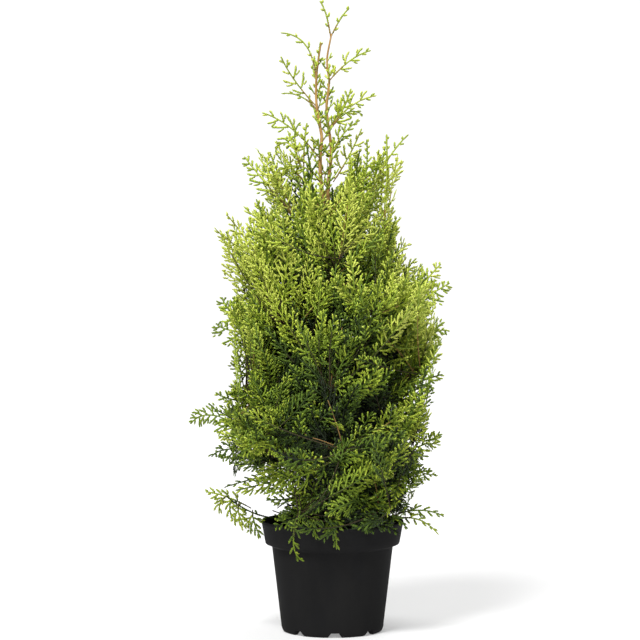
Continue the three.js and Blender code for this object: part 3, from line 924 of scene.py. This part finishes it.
sprayRule = {
    "spacing": 5.4 * mm,  # from one side branchlet to the next, which is on the other side
    "shortSpacing": 4.8 * mm,
    "branching": 11 * mm,  # a side branchlet longer than this has short ones of its own
    "innerSpacing": 1.3,  # both are wider on sprays deep in the crown
    "innerBranching": 1.4,
    "angleLow": 56,
    "angleHigh": 36,
    "angleVary": 7,
    "shortAngle": 42,
    "shortVary": 5,
    "leastReach": 5 * mm,
    "firstShort": 0.28,  # share of a side branchlet below its first short one
    "shortShare": 0.62,  # a short one's length against what is left of the branchlet
    "shortest": 4.5 * mm,
    "longestShort": 8.5 * mm,
    "missing": 0.06,  # share of side branchlets that never grew
    "stump": 4 * mm,  # which is left of them
    "curl": 0.6,
    "curlVary": 0.6,
    "twist": 32,  # degrees from foot to tip
    "curve": 0.22,  # how far branchlets turn towards the spray's tip
}


def outlineAt(share):
    # half width of a spray along its length, most at about a third
    return (1 - share) ** 0.6 * min(1.0, (share + 0.16) / 0.42) / 0.8


def laySpray(length, breadth, spread, isInner):
    # one row for each branchlet: where it starts along and across, heading, length, rank,
    # the row that it grows on and how far along that one
    rows = [(0.0, 0.0, 0.0, length, 0, 0, 0.0)]
    along = sprayRule["spacing"] * rng.uniform(0.6, 1.6)
    side = 1 if rng.random() < 0.5 else -1
    spacing = spread * (sprayRule["innerSpacing"] if isInner else 1.0)
    branching = sprayRule["branching"] * (sprayRule["innerBranching"] if isInner else 1.0)
    while along < length - 3 * mm:
        share = along / length
        reach = max(breadth * length * outlineAt(share) * rng.uniform(0.65, 1.2), sprayRule["leastReach"])
        if rng.random() < sprayRule["missing"]:
            reach = sprayRule["stump"]
        wide = blend(sprayRule["angleLow"], sprayRule["angleHigh"], share)
        angle = side * math.radians(wide + sprayRule["angleVary"] * rng.normal())
        parent = len(rows)
        rows.append((along, 0.0, angle, reach, 1, 0, along))
        far = sprayRule["firstShort"] * reach
        shortSide = side
        while reach > branching and far < reach - 4 * mm:
            size = max(sprayRule["shortShare"] * (reach - far), sprayRule["shortest"])
            size = min(size, sprayRule["longestShort"])
            turn = sprayRule["shortAngle"] + sprayRule["shortVary"] * rng.normal()
            heading = angle + shortSide * math.radians(turn)
            rows.append((along + far * math.cos(angle), far * math.sin(angle), heading,
                         size * rng.uniform(0.85, 1.15), 2, parent, far))
            far += sprayRule["shortSpacing"] * spacing * rng.uniform(0.85, 1.15)
            shortSide = -shortSide
        along += sprayRule["spacing"] * spacing * rng.uniform(0.88, 1.12)
        side = -side
    return rows


branchRows = []
branchShoot = []
for index, shoot in enumerate(shoots):
    first = len(branchRows)
    for row in laySpray(shoot["spray"], shoot["breadth"], shoot["open"], shoot["kind"] == "inner"):
        branchRows.append((*row[:5], first + row[5], row[6]))
        branchShoot.append(index)
branchRows = np.array(branchRows)
branchShoot = np.array(branchShoot)
print("branchlets:", len(branchRows), "metres:", round(float(branchRows[:, 3].sum()), 1))

starts, bends, ends, faces, spans, sprayLengths, tones = (
    np.array([shoot[key] for shoot in shoots])
    for key in ("start", "bend", "end", "face", "span", "spray", "tone")
)
curls = rng.normal(sprayRule["curl"], sprayRule["curlVary"], len(shoots))
twists = np.radians(sprayRule["twist"]) * rng.normal(size=len(shoots))


def onShoot(which, share):
    # place and heading on the shoots' bent lines
    s = share[:, None]
    a, b, c = starts[which], bends[which], ends[which]
    return bent(a, b, c, s), unit(2 * (1 - s) * (b - a) + 2 * s * (c - b))


def onSpray(which, along, across):
    # from a spray's flat plane to its place in the crown
    bare = 1 - sprayLengths[which] / spans[which]
    share = bare + (1 - bare) * along / sprayLengths[which]
    place, heading = onShoot(which, np.minimum(share, 1.0))
    place = place + heading * (np.maximum(share - 1.0, 0) * spans[which])[:, None]
    through = unit(faces[which] - (faces[which] * heading).sum(axis=1, keepdims=True) * heading)
    side = np.cross(heading, through)
    twist = (twists[which] * (along / sprayLengths[which] - 0.4))[:, None]
    turnedSide = side * np.cos(twist) + through * np.sin(twist)
    turnedThrough = through * np.cos(twist) - side * np.sin(twist)
    sag = -curls[which] * across ** 2 / sprayLengths[which]
    return place + turnedSide * across[:, None] + turnedThrough * sag[:, None], turnedThrough


counts = np.maximum(1, np.round(branchRows[:, 3] / scaleLeaf["pitch"])).astype(int)
leafBranch = np.repeat(np.arange(len(branchRows)), counts)
leafOrder = np.arange(len(leafBranch)) - (np.cumsum(counts) - counts)[leafBranch]
leafCount = counts[leafBranch]
rows = branchRows[leafBranch]
rank = rows[:, 4]
which = branchShoot[leafBranch]
pitch = rows[:, 3] / leafCount


def atDistance(distance):
    # branchlets curve a little towards the spray's tip
    heading = rows[:, 2] * (1 - sprayRule["curve"] * distance / rows[:, 3] * (rank > 0))
    return onSpray(which, rows[:, 0] + distance * np.cos(heading), rows[:, 1] + distance * np.sin(heading))


leafLow, through = atDistance(leafOrder * pitch)
leafHigh, _ = atDistance((leafOrder + 1) * pitch)
direction = unit(leafHigh - leafLow)
through = unit(through + 0.05 * rng.normal(size=through.shape))
side = unit(np.cross(direction, through))
through = np.cross(side, direction)
isTip = leafOrder == leafCount - 1
length = np.linalg.norm(leafHigh - leafLow, axis=1) * scaleLeaf["overlap"] * \
    np.where(isTip, scaleLeaf["tipOverlap"], 1.0)
width = scaleLeaf["width"] * np.choose(rank.astype(int), scaleLeaf["rankWidths"])
width = width * rng.uniform(0.88, 1.12, len(rank))
print("scale leaves:", len(length))

# a branchlet stops where it would go into the pot or far out of the frame's box, and what grows on
# it beyond that goes too
leafClearance = {"rim": 1.5 * mm, "insideRim": 4 * mm, "wall": 8 * mm, "soil": 2 * mm, "pastBox": 7 * mm}
middle = (leafLow + leafHigh) / 2
fromAxis = np.hypot(middle[:, 0], middle[:, 1])
besideWall = np.abs(fromAxis - rimRadius + leafClearance["insideRim"]) < leafClearance["wall"]
blocked = (middle[:, 2] < potHigh.z + leafClearance["rim"]) & besideWall
blocked |= (middle[:, 2] < soilTop + leafClearance["soil"]) & (fromAxis < rimRadius)
blocked |= (middle < np.array(cadBox[0]) - leafClearance["pastBox"]).any(axis=1)
blocked |= (middle > np.array(cadBox[1]) + leafClearance["pastBox"]).any(axis=1)
stops = np.full(len(branchRows), np.inf)
np.minimum.at(stops, leafBranch[blocked], (leafOrder * pitch)[blocked])
for level in (1, 2):
    parents = branchRows[:, 5].astype(int)
    cut = (branchRows[:, 4] == level) & (branchRows[:, 6] >= stops[parents])
    stops[cut] = 0
keep = leafOrder * pitch < stops[leafBranch]

# a scale leaf's colour goes by its spray, and the ends of branchlets are the newest growth
leafTones = {"vary": 0.3, "alongSpray": (-0.9, 0, 0.7), "tip": 0.5, "axis": 0.1}
toneOfBranch = tones[branchShoot] + leafTones["vary"] * rng.normal(size=len(branchRows))
isClear = np.array([shoot["kind"] == "clear" for shoot in shoots])
towardsTip = np.interp(branchRows[:, 0] / sprayLengths[branchShoot], [0, 0.5, 1], leafTones["alongSpray"])
toneOfBranch += np.where(isClear[branchShoot], 0, towardsTip)
tone = toneOfBranch[leafBranch] + leafTones["tip"] * isTip * (rank > 0) - leafTones["axis"] * (rank == 0)
tone = np.clip(np.round(tone), 0, 5).astype(int)

# the leaves' own greens from dark to the newest growth; shade, nearly black, is painted shade for sprays deep
# in the crown
leafColours = {
    "shade": {"colour": (0.009, 0.018, 0.004), "roughness": 0.60, "slot": "foliage_deep"},
    "deep": {"colour": (0.034, 0.066, 0.008), "roughness": 0.56, "slot": "foliage_deep"},
    "mid": {"colour": (0.098, 0.166, 0.014), "roughness": 0.53, "slot": "foliage_mid"},
    "fresh": {"colour": (0.228, 0.330, 0.025), "roughness": 0.50, "slot": "foliage_mid"},
    "bright": {"colour": (0.415, 0.520, 0.045), "roughness": 0.48, "slot": "foliage_light"},
    "new": {"colour": (0.580, 0.655, 0.100), "roughness": 0.48, "slot": "foliage_tip"},
}


def leafPiece(name, chosen):
    x = leafShape[None, :, 0, None] * (width[chosen, None] * side[chosen])[:, None, :]
    y = leafShape[None, :, 1, None] * (length[chosen, None] * direction[chosen])[:, None, :]
    z = leafShape[None, :, 2, None] * (width[chosen, None] * through[chosen])[:, None, :]
    points = leafLow[chosen][:, None, :] + x + y + z
    offsets = np.arange(len(chosen))[:, None, None] * len(leafShape)
    return meshFrom(name, points.reshape(-1, 3), (leafFaces[None] + offsets).reshape(-1, 3))


mostLeaves = 190000 // len(leafFaces)  # in one piece
for toneIndex, (leafName, look) in enumerate(leafColours.items()):
    material = leafMaterial("leaf" + leafName.capitalize(), look["colour"], look["roughness"])
    chosen = np.flatnonzero(keep & (tone == toneIndex))
    parts = max(1, math.ceil(len(chosen) / mostLeaves))
    for part, share in enumerate(np.array_split(chosen, parts)):
        name = f"sprays_{leafName}" + (f"_{part + 1}" if parts > 1 else "")
        settle(leafPiece(name, share), name, material)
        print(name, len(share), "scale leaves")
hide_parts(*massNames, *clearNames)

# twigs: the limbs inside the masses, and the woody foot of each shoot

twigSizes = {
    "limbFoot": 2.1 * mm,
    "limbEnd": 0.6 * mm,
    "limbRings": 14,
    "limbSpare": 38 * mm,  # limbs stop this far inside the silhouette
    "limbHeights": (0.35, 0.6),  # they are thinner from the first height to the second
    "limbShares": (1, 0.4),
    "shootFoot": 0.8 * mm,
    "shootEnd": 0.5 * mm,
    "shootRings": 6,
    "intoSpray": 0.28,  # share of a shoot that is woody beyond its bare foot
    "youngFrom": 0.60,
    "youngShare": 0.10,  # of the shoots lower down
    "oldBelow": 0.2,
}


def tubes(lines, radii, sides):
    # many tapering closed tubes with the same number of rings: lines is (tubes, rings, 3)
    amount, rings = lines.shape[:2]
    heading = unit(np.gradient(lines, axis=1))
    guide = np.where(np.abs(heading[:, :, 2:3]) > 0.9, np.array([1.0, 0, 0]), up)
    a = unit(np.cross(heading, guide))
    b = np.cross(heading, a)
    angle = np.arange(sides) * 2 * math.pi / sides
    circle = a[:, :, None] * np.cos(angle)[:, None] + b[:, :, None] * np.sin(angle)[:, None]
    points = lines[:, :, None] + circle * radii[:, :, None, None]
    ring = np.arange(sides)
    nextRing = (ring + 1) % sides
    parts = []
    for level in range(rings - 1):
        low, high = level * sides, (level + 1) * sides
        parts.append(np.stack([low + ring, low + nextRing, high + nextRing], axis=1))
        parts.append(np.stack([low + ring, high + nextRing, high + ring], axis=1))
    fan = np.arange(1, sides - 1)
    parts.append(np.stack([0 * fan, fan + 1, fan], axis=1))
    top = (rings - 1) * sides
    parts.append(np.stack([top + 0 * fan, top + fan, top + fan + 1], axis=1))
    offsets = np.arange(amount)[:, None, None] * rings * sides
    return points.reshape(-1, 3), (np.concatenate(parts)[None] + offsets).reshape(-1, 3)


def taper(foot, end, rings, amount):
    return np.linspace(foot, end, rings)[None].repeat(amount, axis=0)


def isHidden(point):
    return insideSilhouette(point, twigSizes["limbSpare"]) and point[2] < leadersShow["from"]


limbLines = []
for limb in limbs.values():
    hidden = [isHidden(point) for point in limb]
    ending = hidden.index(False) if False in hidden else len(limb)
    limbLines.append(pointsAlong(limb[:max(8, min(len(limb) - 10, ending))], twigSizes["limbRings"]))
limbLines = np.array(limbLines)
limbWidths = taper(twigSizes["limbFoot"], twigSizes["limbEnd"], twigSizes["limbRings"], len(limbs))
limbWidths *= np.interp(limbLines[:, -1, 2], twigSizes["limbHeights"], twigSizes["limbShares"])[:, None]
limbPoints, limbFaces = tubes(limbLines, limbWidths, 6)

allShoots = np.arange(len(shoots))
woodyShare = np.clip(1 - sprayLengths / spans + twigSizes["intoSpray"], 0.1, 0.95)
stations = np.linspace(0, 1, twigSizes["shootRings"])
shootLines = np.stack([onShoot(allShoots, woodyShare * station)[0] for station in stations], axis=1)
shootWidths = taper(twigSizes["shootFoot"], twigSizes["shootEnd"], twigSizes["shootRings"], len(shoots))
isYoung = (rng.random(len(shoots)) < twigSizes["youngShare"]) & (ends[:, 2] > twigSizes["oldBelow"])
isYoung |= ends[:, 2] > twigSizes["youngFrom"]
oldPoints, oldFaces = tubes(shootLines[~isYoung], shootWidths[~isYoung], 4)
youngPoints, youngFaces = tubes(shootLines[isYoung], shootWidths[isYoung], 4)


def twigMaterial(name, colour):
    material, tree, shader = startMaterial(name, colour, 0.7, 0.3)
    grain = objectNoise(tree, 500, 3, (1, 1, 0.3))
    varyRoughness(tree, shader, grain, 0.3, 0.7, 0.6, 0.8)
    addBump(tree, shader, grain, 0.5, 0.0003)
    return material


oldPoints = np.vstack([limbPoints, oldPoints])
oldFaces = np.vstack([limbFaces, oldFaces + len(limbPoints)])
twigsOld = settle(meshFrom("twigs_old", oldPoints, oldFaces), "twigs_old",
                  twigMaterial("twigBrown", (0.040, 0.030, 0.012)))
twigsYoung = settle(meshFrom("twigs_young", youngPoints, youngFaces), "twigs_young",
                    twigMaterial("twigOrange", (0.26, 0.15, 0.048)))
print("twigs:", len(twigsOld.data.polygons) + len(twigsYoung.data.polygons), "faces")

# pot: a disc drawn out ring by ring up the outside, over the rim and down the inside

potSizes = {
    "height": potHigh.z,
    "rimRadius": rimRadius,
    "rimFootRadius": 89.5 * mm,
    "rimDepth": 30 * mm,
    "shoulderRadius": 80.7 * mm,
    "shoulderDrop": 4.4 * mm,
    "lowRadius": 68.5 * mm,
    "lowHeight": 10 * mm,
    "footRadius": 64 * mm,
    "footWidth": 5 * mm,
    "wall": 1.6 * mm,
    "floorLift": 5 * mm,
    "padRadius": 30 * mm,
    "notchWidth": 20 * mm,
    "notchTopWidth": 10 * mm,
    "notchHeight": 6.6 * mm,
    "notches": 8,
    "notchTurn": 2.6,
    "drainRadius": 4 * mm,
    "drainCircle": 45 * mm,
    "segments": 128,
}


def potProfile(sizes):
    # radius and height of each ring, from the middle of the underside round to the floor inside
    rimFoot = sizes["height"] - sizes["rimDepth"]
    shoulder = rimFoot - sizes["shoulderDrop"]
    inner = sizes["footRadius"] - sizes["footWidth"]
    wall = sizes["wall"]
    floorTop = sizes["floorLift"] + wall
    profile = [
        (sizes["padRadius"], 0), (sizes["padRadius"] + 2 * mm, sizes["floorLift"]),
        (inner - 1.5 * mm, sizes["floorLift"]), (inner, 0), (sizes["footRadius"], 0),
    ]
    for share in (0.25, 0.5, 0.75, 1.0):  # rounded bottom edge
        turn = share * math.pi / 2
        profile.append((
            blend(sizes["footRadius"], sizes["lowRadius"], math.sin(turn)),
            sizes["lowHeight"] * (1 - math.cos(turn)),
        ))
    for share in np.linspace(0, 1, 9)[1:-1]:  # straight wall
        profile.append((blend(sizes["lowRadius"], sizes["shoulderRadius"], share),
                        blend(sizes["lowHeight"], shoulder, share)))
    profile += [
        (sizes["shoulderRadius"], shoulder), (sizes["shoulderRadius"] + 1.2 * mm, shoulder + 1.4 * mm),
        (sizes["rimFootRadius"] - 0.8 * mm, rimFoot - 0.5 * mm), (sizes["rimFootRadius"], rimFoot + 0.4 * mm),
    ]
    lipLow = sizes["height"] - 4 * mm
    for share in (0.25, 0.5, 0.75):
        profile.append((blend(sizes["rimFootRadius"], sizes["rimRadius"] - 0.8 * mm, share),
                        blend(rimFoot, lipLow, share)))
    profile += [
        (sizes["rimRadius"] - 0.7 * mm, lipLow), (sizes["rimRadius"], lipLow + 0.9 * mm),
        (sizes["rimRadius"], sizes["height"] - 1 * mm), (sizes["rimRadius"] - 0.7 * mm, sizes["height"]),
        (sizes["rimRadius"] - wall - 0.7 * mm, sizes["height"]),
        (sizes["rimFootRadius"] - wall, rimFoot + 1 * mm),
        (sizes["shoulderRadius"] - wall, shoulder + 0.6 * mm),
        (sizes["lowRadius"] - wall, sizes["lowHeight"]), (sizes["lowRadius"] - 2 * wall, floorTop),
        (sizes["padRadius"] + 1 * mm, floorTop), (sizes["padRadius"] - 1 * mm, wall),
    ]
    return profile


def makePot(sizes):
    profile = potProfile(sizes)
    clearSelection()
    radius, height = profile[0]
    bpy.ops.mesh.primitive_circle_add(vertices=sizes["segments"], radius=radius, fill_type="NGON",
                                      location=(0, 0, 0))
    pot = bpy.context.object
    startEdit()
    bpy.ops.mesh.flip_normals()
    selectOpenEdge()
    for nextRadius, nextHeight in profile[1:]:
        extrudeEdges((0, 0, nextHeight - height))
        grow = nextRadius / radius
        bpy.ops.transform.resize(value=(grow, grow, 1), center_override=(0, 0, 0))
        radius, height = nextRadius, nextHeight
    bpy.ops.mesh.edge_face_add()
    finishEdit()
    return pot


def cutWith(pot, cutter):
    modifier = pot.modifiers.new("cut", "BOOLEAN")
    modifier.operation = "DIFFERENCE"
    modifier.solver = "EXACT"
    modifier.object = cutter
    selectOnly(pot)
    bpy.ops.object.modifier_apply(modifier=modifier.name)
    bpy.data.objects.remove(cutter)


def makeNotches(sizes):
    # one wedge modelled as a cube with a narrower top, copied round the foot
    clearSelection()
    bpy.ops.mesh.primitive_cube_add(size=1, location=(0, 0, 0))
    wedge = bpy.context.object
    startEdit()
    bpy.ops.transform.resize(value=(sizes["notchWidth"], 14 * mm, sizes["notchHeight"] + 1 * mm))
    bpy.ops.mesh.select_all(action="DESELECT")
    bpy.ops.object.mode_set(mode="OBJECT")
    for face in wedge.data.polygons:
        face.select = face.normal.z > 0.9
    bpy.ops.object.mode_set(mode="EDIT")
    bpy.ops.transform.resize(value=(sizes["notchTopWidth"] / sizes["notchWidth"], 1, 1))
    bpy.ops.mesh.select_all(action="SELECT")
    bpy.ops.transform.translate(value=(0, 2 * mm - sizes["footRadius"], (sizes["notchHeight"] - 1 * mm) / 2))
    bpy.ops.object.mode_set(mode="OBJECT")
    wedges = []
    for index in range(sizes["notches"]):
        copy = wedge.copy()
        copy.data = wedge.data.copy()
        copy.rotation_euler.z = math.radians(sizes["notchTurn"]) + index * 2 * math.pi / sizes["notches"]
        bpy.context.scene.collection.objects.link(copy)
        wedges.append(copy)
    bpy.data.objects.remove(wedge)
    return joinPieces(wedges)


def makeDrains(sizes):
    drains = []
    across = sizes["drainCircle"]
    for index in range(sizes["notches"]):
        turn = (index + 0.5) * 2 * math.pi / sizes["notches"] + math.pi / 2
        clearSelection()
        bpy.ops.mesh.primitive_cylinder_add(
            vertices=24, radius=sizes["drainRadius"], depth=12 * mm,
            location=(across * math.cos(turn), across * math.sin(turn), sizes["floorLift"]),
        )
        drains.append(bpy.context.object)
    return joinPieces(drains)


def potMaterial():
    material, tree, shader = startMaterial("potBlack", (0.0125, 0.0125, 0.013), 0.62, 0.03)
    scuff = objectNoise(tree, 35, 6, (1, 1, 0.35))
    varyRoughness(tree, shader, scuff, 0.35, 0.7, 0.58, 0.74)
    dust = ramp(tree, scuff, [
        (0.4, (0.0118, 0.0118, 0.0122)),
        (0.8, (0.0158, 0.0155, 0.0152)),
    ])
    wire(tree, dust, "Color", shader, "Base Color")
    grain = objectNoise(tree, 900, 2)
    addBump(tree, shader, grain, 0.12, 0.0002)
    return material


pot = makePot(potSizes)
cutWith(pot, makeNotches(potSizes))
cutWith(pot, makeDrains(potSizes))
settle(pot, "pot_shell", potMaterial())
selectOnly(pot)
bpy.ops.object.shade_smooth_by_angle(angle=math.radians(32))
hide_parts("pot")
print("pot:", len(pot.data.polygons), "faces")

# compost: a crumbly top on a plug that fills the pot

compostSettings = {
    "radius": (soilHigh.x - soilLow.x) / 2,
    "depth": 10 * mm,
    "footShare": 0.955,  # of the radius, as the pot narrows
    "lumps": 2.2 * mm,
    "edgeLumps": 0.3,  # share of that at the wall
    "crumbs": 420,
    "crumbSize": 2.1 * mm,
    "crumbFlat": 0.6,
    "wallGap": 4 * mm,  # between the crumbs' middles and the wall
}


def makeCompost(settings):
    clearSelection()
    radius = settings["radius"]
    bpy.ops.mesh.primitive_circle_add(vertices=64, radius=radius, fill_type="TRIFAN",
                                      location=(0, 0, soilTop))
    compost = bpy.context.object
    startEdit()
    bpy.ops.mesh.subdivide(number_cuts=3)
    bpy.ops.mesh.subdivide(number_cuts=2)
    selectOpenEdge()
    extrudeEdges((0, 0, -settings["depth"]))
    shrink = settings["footShare"]
    bpy.ops.transform.resize(value=(shrink, shrink, 1), center_override=(0, 0, 0))
    bpy.ops.mesh.edge_face_add()
    finishEdit()
    for vertex in compost.data.vertices:
        if vertex.co.z > -1 * mm:
            place = vertex.co
            rough = noise.noise(place * 90) * 0.9 + noise.noise(place * 260) * 0.6
            sunk = 1.0 if place.xy.length < radius - 1 * mm else settings["edgeLumps"]
            vertex.co.z += (rough - 0.5) * settings["lumps"] * sunk
    return compost


def makeCrumbs(settings):
    # bark chips and grit, each a squashed ball of few faces
    clearSelection()
    bpy.ops.mesh.primitive_ico_sphere_add(subdivisions=1, radius=1, location=(0, 0, 0))
    ball = bpy.context.object
    ball.data.calc_loop_triangles()
    shape = np.array([vertex.co for vertex in ball.data.vertices])
    triangles = np.array([list(triangle.vertices) for triangle in ball.data.loop_triangles])
    bpy.data.objects.remove(ball)
    amount = settings["crumbs"]
    radius = np.sqrt(rng.random(amount)) * (settings["radius"] - settings["wallGap"])
    turn = rng.random(amount) * 2 * math.pi
    sizes = settings["crumbSize"] * rng.uniform(0.4, 1.3, (amount, 1)) * rng.uniform(0.5, 1.4, (amount, 3))
    spin = rng.random(amount) * 2 * math.pi
    local = shape[None] * sizes[:, None, :] * rng.uniform(0.8, 1.2, (amount, len(shape), 1))
    x = local[:, :, 0] * np.cos(spin)[:, None] - local[:, :, 1] * np.sin(spin)[:, None]
    y = local[:, :, 0] * np.sin(spin)[:, None] + local[:, :, 1] * np.cos(spin)[:, None]
    points = np.stack([
        x + (radius * np.cos(turn))[:, None],
        y + (radius * np.sin(turn))[:, None],
        local[:, :, 2] * settings["crumbFlat"] + soilTop - 0.3 * mm,
    ], axis=2)
    offsets = np.arange(amount)[:, None, None] * len(shape)
    return meshFrom("compost_crumbs", points.reshape(-1, 3), (triangles[None] + offsets).reshape(-1, 3))


def soilMaterial(name, dark, light):
    material, tree, shader = startMaterial(name, dark, 0.95, 0.2)
    grain = objectNoise(tree, 220, 6)
    colours = ramp(tree, grain, [(0.35, dark), (0.7, light)])
    wire(tree, colours, "Color", shader, "Base Color")
    addBump(tree, shader, grain, 0.8, 0.0015)
    return material


compost = settle(makeCompost(compostSettings), "compost_top",
                 soilMaterial("compostDark", (0.012, 0.008, 0.005), (0.055, 0.036, 0.022)))
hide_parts("potting_soil")
settle(makeCrumbs(compostSettings), "compost_crumbs",
       soilMaterial("compostChip", (0.03, 0.017, 0.009), (0.13, 0.08, 0.045)))
print("compost done")

# floor, light and camera

stageSettings = {
    "floorColour": (0.62, 0.62, 0.62),
    "floorGlow": 0.30,  # a white sweep lit from behind
    "floorSize": 8,
    "bendStep": 0.35,  # the curve at the back edge is drawn up in steps of this length
    "backdropRise": 3.0,
    "cameraDistance": 4.0,
    "cameraHeight": 0.65,
    "aimHeight": 0.4155,
    "aimSide": -0.0166,
    "frameHeight": 0.851,
    "sensor": 36.0,
    "roomLight": 0.15,
    "roomSeen": 0.82,
    "glossLoss": -0.12,  # the room is darker still in the gloss of things
}

# place, energy, size, and the point that it shines at
lights = {
    "keyLight": ((-1.0, -2.0, 3.0), 140, 1.0, (0, 0, 0.4)),
    "frontLight": ((0.6, -3.6, 1.6), 34, 1.2, (0, 0, 0.4)),
    "topLight": ((0.3, 0.6, 2.8), 50, 1.4, (0, 0, 0.4)),
    "backdropLight": ((0, 2.4, 2.4), 90, 2.6, (0, 4.4, 0.9)),
}


def makeFloor(settings):
    # a big sheet whose back edge is drawn up in a soft curve
    clearSelection()
    bpy.ops.mesh.primitive_plane_add(size=settings["floorSize"], location=(0, 0, 0))
    floor = bpy.context.object
    bpy.ops.object.mode_set(mode="EDIT")
    bpy.ops.mesh.select_mode(type="EDGE")
    bpy.ops.mesh.select_all(action="DESELECT")
    bpy.ops.object.mode_set(mode="OBJECT")
    backEdge = settings["floorSize"] / 2 - 0.1
    for edge in floor.data.edges:
        edge.select = all(floor.data.vertices[index].co.y > backEdge for index in edge.vertices)
    bpy.ops.object.mode_set(mode="EDIT")
    for turn in np.linspace(0, 90, 9)[1:]:
        angle, step = math.radians(turn), settings["bendStep"]
        extrudeEdges((0, step * math.cos(angle), step * math.sin(angle)))
    extrudeEdges((0, 0, settings["backdropRise"]))
    bpy.ops.object.mode_set(mode="OBJECT")
    for face in floor.data.polygons:
        face.use_smooth = True
    material, tree, shader = startMaterial("floorPale", settings["floorColour"], 0.9, 0.1)
    shader.inputs["Emission Color"].default_value = (1, 1, 1, 1)
    shader.inputs["Emission Strength"].default_value = settings["floorGlow"]
    floor.data.materials.append(material)
    floor.name = "floor"


def addLight(name, place, energy, size, aim):
    data = bpy.data.lights.new(name, "AREA")
    data.energy = energy
    data.shape = "SQUARE"
    data.size = size
    light = addObject(name, data)
    light.location = place
    light.rotation_euler = (Vector(aim) - Vector(place)).to_track_quat("-Z", "Y").to_euler()


def makeCamera(settings):
    data = bpy.data.cameras.new("camera")
    data.sensor_width = settings["sensor"]
    camera = addObject("camera", data)
    place = Vector((settings["aimSide"], -settings["cameraDistance"], settings["cameraHeight"]))
    aim = Vector((settings["aimSide"], 0, settings["aimHeight"]))
    data.lens = settings["sensor"] * (aim - place).length / settings["frameHeight"]
    camera.location = place
    camera.rotation_euler = (aim - place).to_track_quat("-Z", "Y").to_euler()
    bpy.context.scene.camera = camera


makeFloor(stageSettings)
for lightName, light in lights.items():
    addLight(lightName, *light)
world = bpy.data.worlds.new("studio")
world.use_nodes = True
tree = world.node_tree
room = tree.nodes["Background"]
room.inputs["Color"].default_value = (1, 1, 1, 1)
# the camera sees a pale room, while the light that it throws on the plant stays low
rays = addNode(tree, "ShaderNodeLightPath")
glow = addNode(tree, "ShaderNodeMapRange")
glow.inputs["To Min"].default_value = stageSettings["roomLight"]
glow.inputs["To Max"].default_value = stageSettings["roomSeen"]
wire(tree, rays, "Is Camera Ray", glow, "Value")
dimmer = addNode(tree, "ShaderNodeMath", operation="MULTIPLY_ADD")
dimmer.inputs[1].default_value = stageSettings["glossLoss"]
wire(tree, rays, "Is Glossy Ray", dimmer, 0)
wire(tree, glow, "Result", dimmer, 2)
wire(tree, dimmer, "Value", room, "Strength")
bpy.context.scene.world = world
bpy.context.scene.view_settings.view_transform = "Standard"
makeCamera(stageSettings)
print("stage done")
